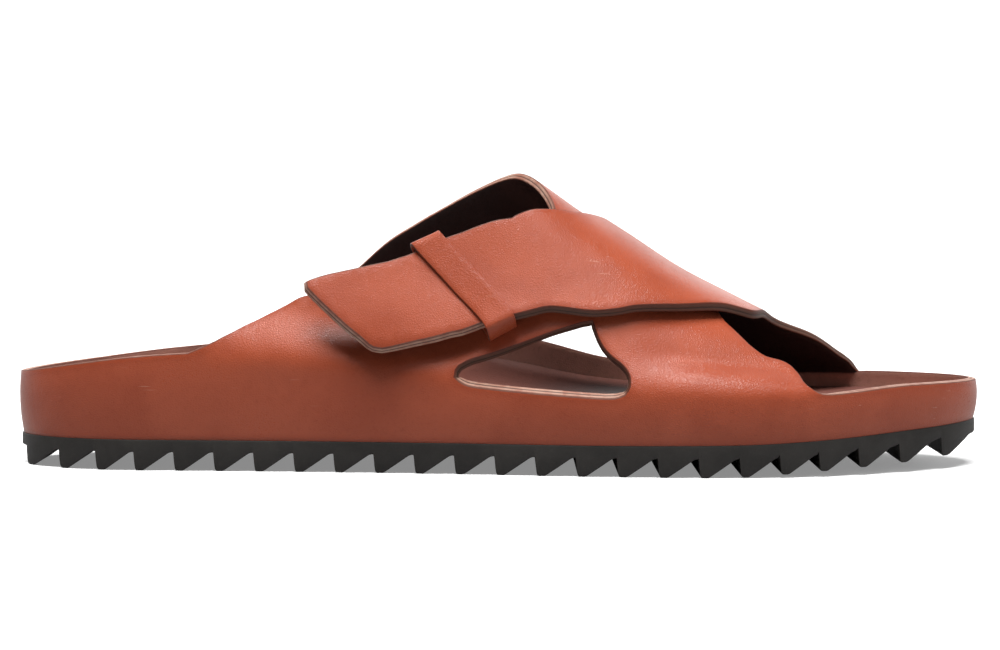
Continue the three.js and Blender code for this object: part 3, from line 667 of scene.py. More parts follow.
class Nodes:
    """Short way of adding nodes to one tree."""

    def __init__(self, tree):
        self.tree = tree

    def add(self, kind, inputs=None, **settings):
        """Node of a kind with its settings, and each input a value or another node's output."""
        node = self.tree.nodes.new(kind)
        for key, value in settings.items():
            setattr(node, key, value)
        for key, value in (inputs or {}).items():
            socket = node.inputs[key]
            if isinstance(value, bpy.types.NodeSocket):
                self.tree.links.new(value, socket)
            else:
                socket.default_value = value
        return node

    def math(self, operation, *values, clamp=False):
        """Result of a sum on values or outputs."""
        return self.add("ShaderNodeMath", dict(enumerate(values)), operation=operation,
                        use_clamp=clamp).outputs[0]

    def mix(self, share, first, second, blend="MIX"):
        """Mixed colour."""
        node = self.add("ShaderNodeMix", data_type="RGBA", blend_type=blend)
        for key, value in (("Factor_Float", share), ("A_Color", first), ("B_Color", second)):
            socket = next(s for s in node.inputs if s.identifier == key)
            if isinstance(value, bpy.types.NodeSocket):
                self.tree.links.new(value, socket)
            else:
                socket.default_value = value
        return next(s for s in node.outputs if s.identifier == "Result_Color")

    def span(self, value, low, high, to_low=0.0, to_high=1.0):
        """Value carried from one range to another, held at its ends and smooth between."""
        return self.add("ShaderNodeMapRange", {
            "Value": value, "From Min": low, "From Max": high, "To Min": to_low,
            "To Max": to_high}, interpolation_type="SMOOTHSTEP").outputs["Result"]


def rgba(colour):
    """Colour with full alpha."""
    return (*colour, 1.0)


def effect(name, inputs, outputs):
    """New shader node group: its nodes, its input sockets by name and its output node."""
    group = bpy.data.node_groups.new(name, "ShaderNodeTree")
    for label, kind, default in inputs:
        socket = group.interface.new_socket(label, in_out="INPUT", socket_type=kind)
        if default is not None:
            socket.default_value = default
    for label, kind in outputs:
        group.interface.new_socket(label, in_out="OUTPUT", socket_type=kind)
    nodes = Nodes(group)
    source = nodes.add("NodeGroupInput")
    return group, nodes, source.outputs, nodes.add("NodeGroupOutput")


def grain_effect():
    """Leather grain: pebbles of one size with finer pores between, as a height."""
    if "Leather grain" in bpy.data.node_groups:
        return bpy.data.node_groups["Leather grain"]
    group, nodes, given, result = effect(
        "Leather grain",
        [("Cells per metre", "NodeSocketFloat", 1400.0), ("Pebble", "NodeSocketFloat", 0.6),
         ("Pores", "NodeSocketFloat", 0.4)],
        [("Height", "NodeSocketFloat")])
    place_at = nodes.add("ShaderNodeTexCoord").outputs["Object"]
    warp = nodes.add("ShaderNodeTexNoise", {"Vector": place_at, "Scale": 260.0, "Detail": 2.0})
    bent = nodes.add("ShaderNodeVectorMath", {0: warp.outputs["Color"], 1: (0.0016,) * 3},
                     operation="MULTIPLY").outputs[0]
    moved = nodes.add("ShaderNodeVectorMath", {0: place_at, 1: bent}, operation="ADD").outputs[0]
    cells = nodes.add("ShaderNodeTexVoronoi", {"Vector": moved, "Scale": given["Cells per metre"]},
                      feature="DISTANCE_TO_EDGE").outputs["Distance"]
    pebble = nodes.span(cells, 0.0, 0.32)
    finer = nodes.math("MULTIPLY", given["Cells per metre"], 2.3)
    pores = nodes.add("ShaderNodeTexNoise", {"Vector": moved, "Scale": finer, "Detail": 3.0,
                                             "Roughness": 0.6}).outputs["Fac"]
    height = nodes.math("ADD", nodes.math("MULTIPLY", pebble, given["Pebble"]),
                        nodes.math("MULTIPLY", pores, given["Pores"]))
    nodes.tree.links.new(height, result.inputs["Height"])
    return group


def mottle_effect():
    """Uneven dye: soft patches and fine dark flecks between two colours."""
    if "Uneven dye" in bpy.data.node_groups:
        return bpy.data.node_groups["Uneven dye"]
    group, nodes, given, result = effect(
        "Uneven dye",
        [("Colour", "NodeSocketColor", None), ("Deep", "NodeSocketColor", None),
         ("Patches per metre", "NodeSocketFloat", 40.0), ("Amount", "NodeSocketFloat", 0.5)],
        [("Colour", "NodeSocketColor"), ("Patch", "NodeSocketFloat")])
    place_at = nodes.add("ShaderNodeTexCoord").outputs["Object"]
    patch = nodes.add("ShaderNodeTexNoise", {
        "Vector": place_at, "Scale": given["Patches per metre"], "Detail": 4.0,
        "Roughness": 0.55, "Distortion": 0.4}).outputs["Fac"]
    finer = nodes.math("MULTIPLY", given["Patches per metre"], 22.0)
    fleck = nodes.add("ShaderNodeTexNoise", {"Vector": place_at, "Scale": finer, "Detail": 3.0,
                                             "Roughness": 0.7}).outputs["Fac"]
    cloud = nodes.span(patch, 0.36, 0.68)
    speck = nodes.span(fleck, 0.50, 0.74)
    share = nodes.math("ADD", nodes.math("MULTIPLY", cloud, 0.72),
                       nodes.math("MULTIPLY", speck, 0.42))
    share = nodes.math("MULTIPLY", share, given["Amount"], clamp=True)
    nodes.tree.links.new(nodes.mix(share, given["Colour"], given["Deep"]), result.inputs["Colour"])
    nodes.tree.links.new(cloud, result.inputs["Patch"])
    return group


def scuff_effect():
    """Thin light scratches, few and short, as a mask."""
    if "Scuffs" in bpy.data.node_groups:
        return bpy.data.node_groups["Scuffs"]
    group, nodes, given, result = effect(
        "Scuffs",
        [("Turn", "NodeSocketFloat", 0.6), ("Cover", "NodeSocketFloat", 0.3)],
        [("Mask", "NodeSocketFloat")])
    place_at = nodes.add("ShaderNodeTexCoord").outputs["Object"]
    turn = nodes.add("ShaderNodeCombineXYZ", {"X": 0.3, "Y": given["Turn"], "Z": 0.0}).outputs[0]
    turned = nodes.add("ShaderNodeMapping", {"Vector": place_at, "Rotation": turn,
                                             "Scale": (60.0, 420.0, 1500.0)}).outputs[0]
    lines = nodes.add("ShaderNodeTexNoise", {"Vector": turned, "Scale": 1.0,
                                             "Detail": 1.0}).outputs["Fac"]
    where = nodes.add("ShaderNodeTexNoise", {"Vector": place_at, "Scale": 75.0,
                                             "Detail": 1.0}).outputs["Fac"]
    few = nodes.span(where, nodes.math("SUBTRACT", 0.78, given["Cover"]), 0.80)
    thin = nodes.span(lines, 0.70, 0.76)
    nodes.tree.links.new(nodes.math("MULTIPLY", few, thin), result.inputs["Mask"])
    return group


def finish_material(name):
    """New material: its nodes and its shader."""
    material = bpy.data.materials.new(name)
    material.use_nodes = True
    tree = material.node_tree
    return material, Nodes(tree), tree.nodes["Principled BSDF"]


def use(nodes, group, **inputs):
    """An effect placed in a material with its own values; names use _ for spaces."""
    node = nodes.add("ShaderNodeGroup", node_tree=group)
    for key, value in inputs.items():
        socket = node.inputs[key.replace("_", " ")]
        if isinstance(value, bpy.types.NodeSocket):
            nodes.tree.links.new(value, socket)
        else:
            socket.default_value = value
    return node.outputs


def tan_leather(name, colours, cells, pebble, bump):
    """Tan leather: dyed unevenly, burnished near its cut edges, finely grained."""
    material, nodes, shader = finish_material(name)
    dye = use(nodes, mottle_effect(), Colour=rgba(colours.leather), Deep=rgba(colours.leather_deep),
              Patches_per_metre=38.0, Amount=0.8)
    grain = use(nodes, grain_effect(), Cells_per_metre=cells, Pebble=pebble, Pores=0.5)
    scuff = use(nodes, scuff_effect(), Turn=0.7, Cover=0.22)
    near = nodes.add("ShaderNodeAttribute", attribute_name="from_edge").outputs["Fac"]
    burnish = nodes.span(near, 0.2, 2.6, 0.55, 0.0)
    colour = nodes.mix(burnish, dye["Colour"], rgba(colours.leather_deep))
    colour = nodes.mix(nodes.math("MULTIPLY", scuff["Mask"], 0.5), colour, (0.62, 0.36, 0.26, 1.0))
    rough = nodes.math("ADD", nodes.math("MULTIPLY", grain["Height"], 0.10),
                       nodes.math("MULTIPLY", dye["Patch"], 0.07))
    rough = nodes.math("ADD", rough, 0.25)
    bumped = nodes.add("ShaderNodeBump", {"Height": grain["Height"], "Strength": bump,
                                          "Distance": 0.00012}).outputs["Normal"]
    nodes.tree.links.new(colour, shader.inputs["Base Color"])
    nodes.tree.links.new(rough, shader.inputs["Roughness"])
    nodes.tree.links.new(bumped, shader.inputs["Normal"])
    shader.inputs["Specular IOR Level"].default_value = 0.42
    return material


def edge_leather(colours):
    """Cut edge: two layers with a dark seam between them, sealed dark or left light."""
    material, nodes, shader = finish_material("Cut edge")
    through = nodes.add("ShaderNodeAttribute", attribute_name="through").outputs["Fac"]
    sealed = nodes.add("ShaderNodeAttribute", attribute_name="sealed").outputs["Fac"]
    dye = use(nodes, mottle_effect(), Colour=rgba(colours.raw_edge),
              Deep=rgba(colours.leather_deep), Patches_per_metre=300.0, Amount=0.7)
    colour = nodes.mix(sealed, dye["Colour"], rgba(colours.cut_edge))
    burnt = rgba(tuple(0.35 * k for k in colours.leather_deep))
    colour = nodes.mix(nodes.span(through, 0.80, 0.90, 0.0, 0.8), colour, burnt)
    colour = nodes.mix(nodes.span(through, 0.06, 0.16, 0.85, 0.0), colour, burnt)
    seam = nodes.math("ABSOLUTE", nodes.math("SUBTRACT", through, 0.48))
    dark = nodes.span(seam, 0.02, 0.12, 0.8, 0.0)
    colour = nodes.mix(dark, colour, (0.022, 0.011, 0.008, 1.0))
    nodes.tree.links.new(colour, shader.inputs["Base Color"])
    grain = use(nodes, grain_effect(), Cells_per_metre=2600.0, Pebble=0.3, Pores=1.0)
    bumped = nodes.add("ShaderNodeBump", {"Height": grain["Height"], "Strength": 0.5,
                                          "Distance": 0.00015}).outputs["Normal"]
    nodes.tree.links.new(bumped, shader.inputs["Normal"])
    rough = nodes.math("ADD", nodes.math("MULTIPLY", grain["Height"], 0.12), 0.48)
    nodes.tree.links.new(rough, shader.inputs["Roughness"])
    return material


def dark_leather(name, colour, wall_colour, rough_base, cells):
    """Lining or footbed leather, softly worn and finely grained; on the wall it takes a second
    colour, which for the lining is painted light and sheen.
    """
    material, nodes, shader = finish_material(name)
    on_wall = nodes.add("ShaderNodeAttribute", attribute_name="wall").outputs["Fac"]
    base = nodes.mix(on_wall, rgba(colour), rgba(wall_colour))
    worn = nodes.mix(1.0, base, (0.55, 0.55, 0.55, 1.0), "MULTIPLY")
    dye = use(nodes, mottle_effect(), Colour=base, Deep=worn, Patches_per_metre=30.0, Amount=0.8)
    grain = use(nodes, grain_effect(), Cells_per_metre=cells, Pebble=0.5, Pores=0.6)
    nodes.tree.links.new(dye["Colour"], shader.inputs["Base Color"])
    rough = nodes.math("ADD", nodes.math("MULTIPLY", grain["Height"], 0.14), rough_base)
    nodes.tree.links.new(rough, shader.inputs["Roughness"])
    bumped = nodes.add("ShaderNodeBump", {"Height": grain["Height"], "Strength": 0.35,
                                          "Distance": 0.00012}).outputs["Normal"]
    nodes.tree.links.new(bumped, shader.inputs["Normal"])
    return material


def sole_rubber(colours):
    """Moulded rubber: near black, dusty, with a faint brown bloom and tiny specks."""
    material, nodes, shader = finish_material("Outsole rubber")
    bloom = tuple(min(1.0, 1.9 * k) for k in colours.rubber)
    dye = use(nodes, mottle_effect(), Colour=rgba(colours.rubber), Deep=rgba(bloom),
              Patches_per_metre=60.0, Amount=0.7)
    grain = use(nodes, grain_effect(), Cells_per_metre=3200.0, Pebble=0.2, Pores=1.0)
    nodes.tree.links.new(dye["Colour"], shader.inputs["Base Color"])
    rough = nodes.math("ADD", nodes.math("MULTIPLY", grain["Height"], 0.15), 0.50)
    nodes.tree.links.new(rough, shader.inputs["Roughness"])
    bumped = nodes.add("ShaderNodeBump", {"Height": grain["Height"], "Strength": 0.4,
                                          "Distance": 0.0001}).outputs["Normal"]
    nodes.tree.links.new(bumped, shader.inputs["Normal"])
    return material


# The pieces

def upper_sheets(leather, spacing):
    """Inner face of the whole upper: its points, triangles, and for each point what it is."""
    rim = spacing * 0.8
    low, (root_rear, root_front) = PATTERN_BOTTOM, OUTER_STRAP_ROOT

    def straight(*ends):
        """Straight cut between two places of the pattern."""
        return cut_line(ends, rim, True)

    heel_down = straight((0.0, -1.0), (0.0, -low))
    toe_up = straight((1.0, -low), (1.0, -1.0))
    strap_root = straight((root_rear, 1.0), (root_front, 1.0))
    body = closed_outline(
        straight((0.0, -low), (1.0, -low)),
        toe_up,
        straight((1.0, -1.0), (INNER_STRAP_ROOT, -1.0)),
        cut_line(INNER_STRAP_FRONT, rim), cut_line(MEDIAL_CUTOUT_END, rim),
        cut_line(MEDIAL_CUTOUT_BOTTOM, rim),
        strap_root,
        straight((root_front, 1.0), (1.0, 1.0)),
        toe_up[::-1] * (1, -1),
        straight((1.0, low), (0.0, low)),
        heel_down[::-1] * (1, -1),
        straight((0.0, 1.0), (COLLAR_ROOT, 1.0)),
        cut_line(COLLAR_EDGE, rim),
        straight((COLLAR_ROOT, -1.0), (0.0, -1.0)),
        heel_down)
    hole = closed_outline(cut_line(CUTOUT_FRONT, rim), cut_line(CUTOUT_BOTTOM, rim),
                          cut_line(CUTOUT_TOP, rim))
    strap = closed_outline(cut_line(OUTER_STRAP_REAR, rim), strap_root,
                           cut_line(OUTER_STRAP_FRONT, rim), cut_line(TAB_END, rim))
    body_places, body_triangles = fill_outline([body, hole], spacing)
    strap_places, strap_triangles = fill_outline([strap], spacing)
    places = np.concatenate([body_places, strap_places])
    triangles = np.concatenate([body_triangles, strap_triangles + len(body_places)])
    on_strap = np.arange(len(places)) >= len(body_places)
    x, c = u_to_x(places[:, 0]), v_to_c(places[:, 1])
    lift = np.where(on_strap, strap_lift(x, c, leather), 0.0)
    lift += np.where(on_strap, 0.0, fold_height(places, BODY_FOLDS))
    points = place(x, c, lift, leather, np.where(on_strap, 0.0, 1.0))
    # The pattern's ends meet behind the heel and before the toe, and the outer strap grows out
    # of the medial rim
    joint = (x < 1e-3) | (x > LENGTH - 1e-3) | ((np.abs(c - 1) < 1e-4) & (x > 0.6 * LENGTH))
    first = {}
    same = np.arange(len(places))
    for k in np.flatnonzero(joint):
        same[k] = first.setdefault(tuple(np.round(points[k], 2)), k)
    triangles = same[triangles]
    used, flat = np.unique(triangles, return_inverse=True)
    return points[used], flat.reshape(-1, 3), places[used], on_strap[used]


def build_upper(sizes, colours):
    """Whole upper: wall, inner strap with both wings, and outer strap, with their cut edges."""
    leather = sizes.leather * 1000
    spacing = sizes.mesh_spacing * 1000
    points, triangles, places, on_strap = upper_sheets(leather, spacing)
    following = open_edges(triangles)
    held = np.zeros(len(points), bool)
    held[list(following)] = True
    points = relaxed(points, triangles, held, 6)
    normals = point_normals(points, triangles)

    tree = KDTree(len(following))
    for k in following:
        tree.insert(points[k], k)
    tree.balance()
    from_edge = np.array([tree.find(p)[2] for p in points])

    before = {b: a for a, b in following.items()}
    edge_points = np.array(sorted(following))
    place_in = {k: i for i, k in enumerate(edge_points.tolist())}
    next_points = [following[k] for k in edge_points.tolist()]
    last_points = [before[k] for k in edge_points.tolist()]
    run = unit(points[next_points] - points[last_points])
    out = unit(np.cross(run, normals[edge_points]))
    count, rim_count = len(points), len(edge_points)
    bottom = np.abs(places[edge_points, 1]) > ARCH_REACH + 0.5 * WALL_REACH
    x_at = u_to_x(places[edge_points, 0]) / LENGTH
    c_at = v_to_c(places[edge_points, 1])
    strap_at = on_strap[edge_points]
    in_cutout = ~strap_at & (x_at > 0.44) & (x_at < 0.64) & (c_at < -0.70) & (c_at > -1.2)
    cutout_top = in_cutout & (c_at > -1.0)
    front_edge = (x_at > 0.60) & (c_at > -0.96) & (c_at < 0.9)
    toe_rim = ~strap_at & (x_at > INNER_STRAP_ROOT) & (np.abs(c_at) > 0.99) & ~bottom
    kind_of_edge = [(strap_at & (c_at < 0.9), "outer strap"), (cutout_top, "cut-out top"),
                    (in_cutout & ~cutout_top, "cut-out bottom"), (toe_rim, "toe rim")]
    bevel = np.full(rim_count, BEVELS["elsewhere"])
    for where, name in kind_of_edge:
        bevel[where] = BEVELS[name]
    bevel[bottom] = 0.0
    bevel = eased_round(bevel, [place_in[k] for k in next_points], 6)
    strips, through = [], []
    for offset, share in EDGE_PROFILE[1:-1]:
        reach = offset + bevel * (1 - share)
        strips.append(points[edge_points] + normals[edge_points] * leather * share
                      + out * reach[:, None])
        through.append(np.full(rim_count, share))
    inner = points.copy()
    inner[edge_points] += out * bevel[:, None]
    all_points = np.concatenate([points + normals * leather, inner, *strips])
    dark = bottom | cutout_top | front_edge | (strap_at & (x_at > 0.50))
    sealed = np.where(dark, 1.0, 0.15)

    faces = [tuple(t) for t in triangles] + [tuple(t[::-1] + count) for t in triangles]
    kinds = [0] * len(triangles) + [2] * len(triangles)
    layers = len(EDGE_PROFILE) - 2

    def profile_point(k, layer):
        """Index of an edge point: the outer face, the strips, then the inner face."""
        if layer == 0:
            return k
        if layer == layers + 1:
            return k + count
        return 2 * count + (layer - 1) * rim_count + place_in[k]

    for a, b in following.items():
        for layer in range(layers + 1):
            faces.append((profile_point(b, layer), profile_point(a, layer),
                          profile_point(a, layer + 1), profile_point(b, layer + 1)))
            kinds.append(1)
    # Share of each point that lies on the low wall, where the lining takes its painted light and
    # sheen.
    wall = smoothstep(np.abs(v_to_c(places[:, 1])), 0.96, 1.02) * ~on_strap
    rim_sealed = np.zeros(count)
    rim_sealed[edge_points] = sealed
    attributes = {
        "from_edge": np.concatenate([from_edge, from_edge, np.zeros(rim_count * layers)]),
        "through": np.concatenate([np.ones(count), np.zeros(count), *through]),
        "sealed": np.concatenate([rim_sealed, rim_sealed, *[sealed] * layers]),
        "wall": np.concatenate([wall, wall, np.zeros(rim_count * layers)]),
    }
    materials = [
        tan_leather("Tan leather", colours, 1 / sizes.grain_size, 0.6, 0.5),
        edge_leather(colours),
        # The lining's colours hold painted shade inside the straps, and painted light and sheen on
        # the low wall's inner side.
        dark_leather("Lining leather with painted shade and light", colours.shaded_lining, colours.lit_wall_lining, 0.50, 1500.0),
    ]
    piece = new_piece("leather_upper", all_points, faces, attributes, materials, kinds)
    seat(piece, "upper", "upper")
    return piece


def footbed_section(x, leather):
    """Points across the footbed at X, from the lateral bottom edge over the dish to the medial."""
    bottom = float(sole_top(x)) + CLEARANCE
    rows = []

    def wall_point(side, share, extra=0.0):
        """Point of the footbed's side, a share of the way up to its top edge."""
        rim = COLLAR_HEIGHT * float(along(RIM, 1 if side < 0 else 2, x))
        edge = COLLAR_HEIGHT * float(along(DISH, 1 if side < 0 else 3, x))
        q = share * (edge - bottom) / (rim - bottom)
        return place(x, side * (2 - q), -2 * CLEARANCE - extra, leather)

    lateral, medial = wall_point(-1, 1.0), wall_point(1, 1.0)
    middle = COLLAR_HEIGHT * float(along(DISH, 2, x))
    rows += [wall_point(-1, 0.0), wall_point(-1, 0.5), wall_point(-1, 0.9), lateral]
    turns = 0.5 - 0.5 * np.cos(np.linspace(0, math.pi, 31)[1:-1])
    for t in turns:
        p = lateral * (1 - t) + medial * t
        sink = (1 - abs(2 * t - 1) ** 2.5) * float(across(x))
        p[2] = p[2] * (1 - sink) + middle * sink
        rows.append(p)
    rows += [medial, wall_point(1, 0.9), wall_point(1, 0.5), wall_point(1, 0.0)]
    return rows


def build_footbed(sizes, colours):
    """Moulded footbed, a dish inside the leather wall."""
    leather = sizes.leather * 1000
    stations = u_to_x(np.linspace(x_to_u(0.4), x_to_u(LENGTH - 0.4), 190))
    points, ring = [], 0
    for x in stations:
        section = footbed_section(np.float64(x), leather)
        ring = len(section)
        points += section
    faces = [f[::-1] for f in ring_faces(len(stations), ring, False)]
    last = (len(stations) - 1) * ring
    faces += [tuple(range(ring)), tuple(last + k for k in range(ring))[::-1]]
    material = dark_leather("Footbed leather", colours.footbed, colours.footbed, 0.46, 1300.0)
    piece = new_piece("moulded_footbed", points, faces, None, [material], None,
                      math.radians(50))
    seat(piece, "footbed", "footbed")
    return piece


def tooth_line():
    """Lower edge of the outsole's side view."""
    rows = [(SOLE_INSET, TOOTH_DEPTH)]
    for i in range(TOOTH_COUNT):
        late = max(0, i - (TOOTH_COUNT - 1 - LONG_TEETH))
        tip = FIRST_TOOTH + i * TOOTH_PITCH + TOOTH_STRETCH * late ** 2
        base = float(sole_base(np.float64(tip)))
        rows += [(tip + dx * TOOTH_PITCH, base + dz * TOOTH_DEPTH) for dx, dz in TOOTH]
    rows.append((LENGTH + TOOTH_PITCH, float(sole_base(np.float64(LENGTH))) + TOOTH_DEPTH))
    return np.array(rows)


def build_outsole(colours):
    """Rubber outsole with its saw teeth across the whole width."""
    line = tooth_line()
    toe_start = LENGTH - TOE_ROUND
    ends = u_to_x(np.concatenate([
        np.linspace(HEEL_ROUND - HEEL_REACH, HEEL_ROUND, 60),
        np.linspace(toe_start, toe_start + TOE_REACH, 90)]))
    stations = np.unique(np.round(np.concatenate([
        line[:, 0], ends, np.linspace(HEEL_ROUND, toe_start, 60)]), 3))
    stations = stations[(stations > 0.02) & (stations < LENGTH - 0.02)]
    keep = np.concatenate([[True], np.diff(stations) > 0.03])
    stations = stations[keep]
    low = np.interp(stations, line[:, 0], line[:, 1])
    top = sole_top(stations)
    soft = SOLE_EDGE
    near = 0.12
    section = [(0.0, soft, False), (near, near, False), (soft, 0.0, False), (soft, 0.0, True),
               (near, -near, True), (0.0, -soft, True)]
    points = []
    for x, z_low, z_top in zip(stations, low, top):
        sides = []
        for side in (-1, 1):
            rows = []
            for inset, dz, upper in section:
                px, py = outline_point(np.float64(x), side, SOLE_INSET + inset)
                rows.append((px, py, (z_top if upper else z_low) + dz))
            sides.append(rows)
        points += [sides[0][k] for k in (2, 1, 0, 5, 4, 3)]
        points += [sides[1][k] for k in (3, 4, 5, 0, 1, 2)]
    ring = 2 * len(section)
    faces = [f[::-1] for f in ring_faces(len(stations), ring, False)]
    last = (len(stations) - 1) * ring
    faces += [tuple(range(ring)), tuple(last + k for k in range(ring))[::-1]]
    piece = new_piece("toothed_outsole", points, faces, None, [sole_rubber(colours)], None,
                      math.radians(35))
    seat(piece, "outsole", "outsole")
    return piece


def build_keeper(sizes, colours):
    """Keeper: a flat loop folded tightly round the outer strap."""
    leather = sizes.leather * 1000
    thick = sizes.keeper_leather * 1000
    width = sizes.keeper_width * 1000
    line = cut_line(KEEPER_LINE, 0.8)
    steps = len(line)
    gaps = np.linalg.norm(np.diff(line, axis=0), axis=1)
    run = np.concatenate([[0], np.cumsum(gaps)])

    def on_line(s):
        """Place of the pattern at a distance along the keeper's line, past its ends too."""
        inner = np.clip(s, 0, run[-1])
        p = np.array([np.interp(inner, run, line[:, k]) for k in (0, 1)])
        lead = line[1] - line[0] if s < 0 else line[-1] - line[-2]
        return p + unit(lead) * (s - inner)

    def over_height(s):
        """Height of the band's middle over the outer strap."""
        p = on_line(min(max(s, 0), run[-1]))
        x, c = u_to_x(p[0]), v_to_c(p[1])
        return float(strap_lift(x, c, leather)) + leather + KEEPER_GAP + thick / 2 - UPPER_RUN_SINK

    low = leather + KEEPER_GAP + thick / 2 - LOWER_RUN_SINK
    path = [(s, over_height(s)) for s in np.linspace(0, run[-1], steps)]
    fold = np.linspace(0, math.pi, 11)[1:-1]
    top = over_height(run[-1])
    path += [(run[-1] + KEEPER_BEND * math.sin(a),
              (top + low) / 2 + (top - low) / 2 * math.cos(a)) for a in fold]
    path += [(s, low) for s in np.linspace(run[-1], 0, steps)]
    top = over_height(0)
    path += [(-KEEPER_BEND * math.sin(a),
              (top + low) / 2 - (top - low) / 2 * math.cos(a)) for a in fold]

    half, corner = width / 2, KEEPER_CORNER
    rounds = [(-half, 0.5 - corner / thick), (-half + KEEPER_EASE, 0.44), (-half + corner, 0.5)]
    shape = rounds + [(k * (half - corner), 0.5) for k in (-0.6, -0.2, 0.2, 0.6)]
    shape += [(-a, b) for a, b in rounds[::-1]]
    shape += [(-a, -b) for a, b in shape]
    centre, lengthwise = [], []
    ahead, over = 0.5, 0.0042
    for s, h in path:
        p = on_line(s)
        x, c = u_to_x(p[0]), v_to_c(p[1])
        centre.append(place(x, c, h, leather))
        lengthwise.append(place(x + ahead, c + over, h, leather)
                          - place(x - ahead, c - over, h, leather))
    centre, side_way = np.array(centre), unit(np.array(lengthwise))
    run_way = unit(np.roll(centre, -1, axis=0) - np.roll(centre, 1, axis=0))
    side_way = unit(side_way - (side_way * run_way).sum(axis=1, keepdims=True) * run_way)
    face_way = np.cross(side_way, run_way)
    points, through, from_edge = [], [], []
    for p, s_way, f_way in zip(centre, side_way, face_way):
        for a, b in shape:
            points.append(p + s_way * a + f_way * b * thick)
            through.append(0.5 + b)
            from_edge.append(half - abs(a))
    ring = len(shape)
    faces = ring_faces(len(path), ring, True)
    on_side = [1 if j in (ring - 1, len(rounds) + 4 + 2) else 0 for j in range(ring)]
    kinds = [on_side[j % ring] for j in range(len(faces))]
    attributes = {"through": through, "from_edge": np.array(from_edge) + 0.6,
                  "sealed": np.ones(len(points))}
    materials = [tan_leather("Pebbled tan leather", colours, 0.9 / sizes.grain_size, 0.9, 0.45),
                 bpy.data.materials["Cut edge"]]
    piece = new_piece("keeper_loop", points, faces, attributes, materials, kinds)
    seat(piece, "strap_keeper", "strap_keeper")
    return piece


# The studio

def build_camera():
    """Camera at the photograph's angle: level with the straps, from the lateral side."""
    sensor_width, focal_pixels, frame_width = 36.0, 3318.0, 1000.0
    tilt_down, lean = 2.493, 0.25
    data = bpy.data.cameras.new("Lateral camera")
    data.sensor_width = sensor_width
    data.lens = focal_pixels * sensor_width / frame_width
    data.clip_start, data.clip_end = 0.05, 50.0
    camera = bpy.data.objects.new("Lateral camera", data)
    camera.location = (-0.0003, -0.99794, 0.085)
    pitch = Matrix.Rotation(math.radians(90 - tilt_down), 3, "X")
    roll = Matrix.Rotation(math.radians(lean), 3, "Z")
    camera.rotation_euler = (pitch @ roll).to_euler()
    bpy.context.scene.collection.objects.link(camera)
    bpy.context.scene.camera = camera


def build_floor(studio, colours):
    """Plain pale floor, large and flat; it throws back less light than it shows."""
    material, nodes, shader = finish_material("Studio floor")
    seen = nodes.add("ShaderNodeLightPath").outputs["Is Camera Ray"]
    shade = nodes.mix(seen, (studio.floor_bounce,) * 3 + (1.0,), rgba(colours.floor))
    nodes.tree.links.new(shade, shader.inputs["Base Color"])
    shader.inputs["Emission Color"].default_value = rgba(colours.floor)
    glow = 0.32
    nodes.tree.links.new(nodes.math("MULTIPLY", seen, glow), shader.inputs["Emission Strength"])
    shader.inputs["Roughness"].default_value = 0.6
    shader.inputs["Specular IOR Level"].default_value = 0.0
    half = 12.0
    mesh = bpy.data.meshes.new("studio_floor")
    corners = [(-half, -half, 0.0), (half, -half, 0.0), (half, half, 0.0), (-half, half, 0.0)]
    mesh.from_pydata(corners, [], [(0, 1, 2, 3)])
    mesh.materials.append(material)
    floor = bpy.data.objects.new("studio_floor", mesh)
    bpy.context.scene.collection.objects.link(floor)


def add_light(name, strength, breadth, height, turn, spreads, shines):
    """Far, broad light; its height and its turn from the front to the toe are in degrees."""
    data = bpy.data.lights.new(name, "SUN")
    data.energy = strength
    data.angle = math.radians(breadth)
    light = bpy.data.objects.new(name, data)
    up, turn = math.radians(height), math.radians(turn)
    towards = Vector((-math.cos(up) * math.sin(turn), math.cos(up) * math.cos(turn), -math.sin(up)))
    light.rotation_euler = towards.to_track_quat("-Z", "Y").to_euler()
    light.visible_diffuse, light.visible_glossy = spreads, shines
    bpy.context.scene.collection.objects.link(light)


def build_studio(studio):
    """Soft studio light: a broad key and a low fill, two strips that only shine, and a backdrop."""
    add_light("Broad key", studio.key, studio.key_breadth, 77, -20, True, False)
    add_light("Toe fill", studio.fill, 60, 15, 86, True, False)
    add_light("Front strip", studio.front_strip, 26, 58, 0, False, True)
    add_light("Top strip", studio.top_strip, 16, 90, 0, False, True)
    world = bpy.data.worlds.new("Studio surround")
    world.use_nodes = True
    nodes = Nodes(world.node_tree)
    background = world.node_tree.nodes["Background"]
    background.inputs["Color"].default_value = (1.0, 1.0, 1.0, 1.0)
    towards = nodes.add("ShaderNodeTexCoord").outputs["Generated"]
    parts = nodes.add("ShaderNodeSeparateXYZ", {"Vector": towards}).outputs
    behind = nodes.span(parts["Y"], 0.45, 0.95, studio.surround, studio.backdrop)
    seen = nodes.add("ShaderNodeLightPath").outputs["Is Camera Ray"]
    white = 1.1
    strength = nodes.math("MAXIMUM", nodes.math("MULTIPLY", seen, white), behind)
    nodes.tree.links.new(strength, background.inputs["Strength"])
    bpy.context.scene.world = world
    bpy.context.scene.view_settings.view_transform = "Standard"


# Operators and panel

class SANDAL_OT_stage(bpy.types.Operator):
    """Camera, pale floor and soft studio lights"""
    bl_idname = "sandal.stage"
    bl_label = "Stage"

    def execute(self, context):
        build_camera()
        build_floor(context.scene.sandal_studio, context.scene.sandal_colours)
        build_studio(context.scene.sandal_studio)
        return {"FINISHED"}


class SANDAL_OT_outsole(bpy.types.Operator):
    """Rubber outsole with saw teeth"""
    bl_idname = "sandal.outsole"
    bl_label = "Outsole"

    def execute(self, context):
        build_outsole(context.scene.sandal_colours)
        return {"FINISHED"}


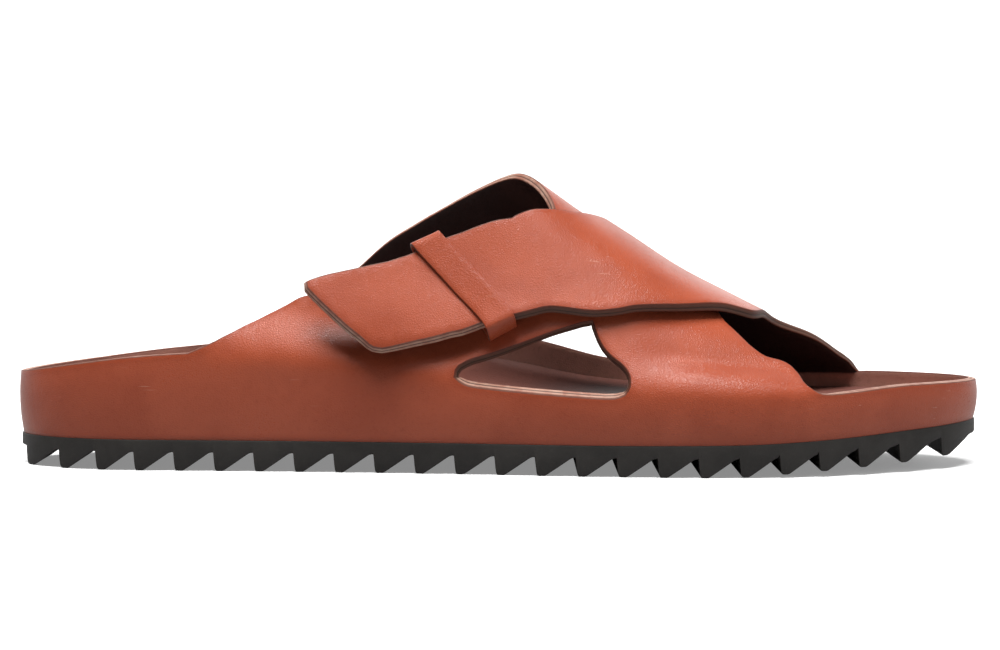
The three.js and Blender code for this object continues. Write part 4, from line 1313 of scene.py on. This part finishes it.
class SANDAL_OT_footbed(bpy.types.Operator):
    """Moulded footbed"""
    bl_idname = "sandal.footbed"
    bl_label = "Footbed"

    def execute(self, context):
        build_footbed(context.scene.sandal_sizes, context.scene.sandal_colours)
        return {"FINISHED"}


class SANDAL_OT_upper(bpy.types.Operator):
    """Leather wall and the two crossing straps"""
    bl_idname = "sandal.upper"
    bl_label = "Upper"

    def execute(self, context):
        build_upper(context.scene.sandal_sizes, context.scene.sandal_colours)
        return {"FINISHED"}


class SANDAL_OT_keeper(bpy.types.Operator):
    """Keeper loop round the outer strap"""
    bl_idname = "sandal.keeper"
    bl_label = "Keeper"

    def execute(self, context):
        build_keeper(context.scene.sandal_sizes, context.scene.sandal_colours)
        return {"FINISHED"}


class SANDAL_PT_pieces(bpy.types.Panel):
    """Pieces of the sandal, with their sizes and colours"""
    bl_label = "Sandal"
    bl_idname = "SANDAL_PT_pieces"
    bl_space_type = "VIEW_3D"
    bl_region_type = "UI"
    bl_category = "Sandal"

    def draw(self, context):
        for operator in OPERATORS:
            self.layout.operator(operator.bl_idname)
        for settings in (context.scene.sandal_sizes, context.scene.sandal_colours,
                         context.scene.sandal_studio):
            box = self.layout.box()
            for key in settings.__annotations__:
                box.prop(settings, key)


OPERATORS = (SANDAL_OT_stage, SANDAL_OT_outsole, SANDAL_OT_footbed, SANDAL_OT_upper,
             SANDAL_OT_keeper)
SETTINGS = {"sandal_sizes": SandalSizes, "sandal_colours": SandalColours,
            "sandal_studio": SandalStudio}


def register():
    """Registers the settings, the operators and the panel."""
    for settings in SETTINGS.values():
        bpy.utils.register_class(settings)
    for key, settings in SETTINGS.items():
        setattr(bpy.types.Scene, key, PointerProperty(type=settings))
    for cls in (*OPERATORS, SANDAL_PT_pieces):
        bpy.utils.register_class(cls)


def unregister():
    """Takes them away again."""
    for cls in (SANDAL_PT_pieces, *reversed(OPERATORS)):
        bpy.utils.unregister_class(cls)
    for key, settings in SETTINGS.items():
        delattr(bpy.types.Scene, key)
        bpy.utils.unregister_class(settings)


def main():
    """Builds the stage and every piece."""
    register()
    bpy.ops.sandal.stage()
    bpy.ops.sandal.outsole()
    bpy.ops.sandal.footbed()
    bpy.ops.sandal.upper()
    bpy.ops.sandal.keeper()


if __name__ == "__main__":
    main()
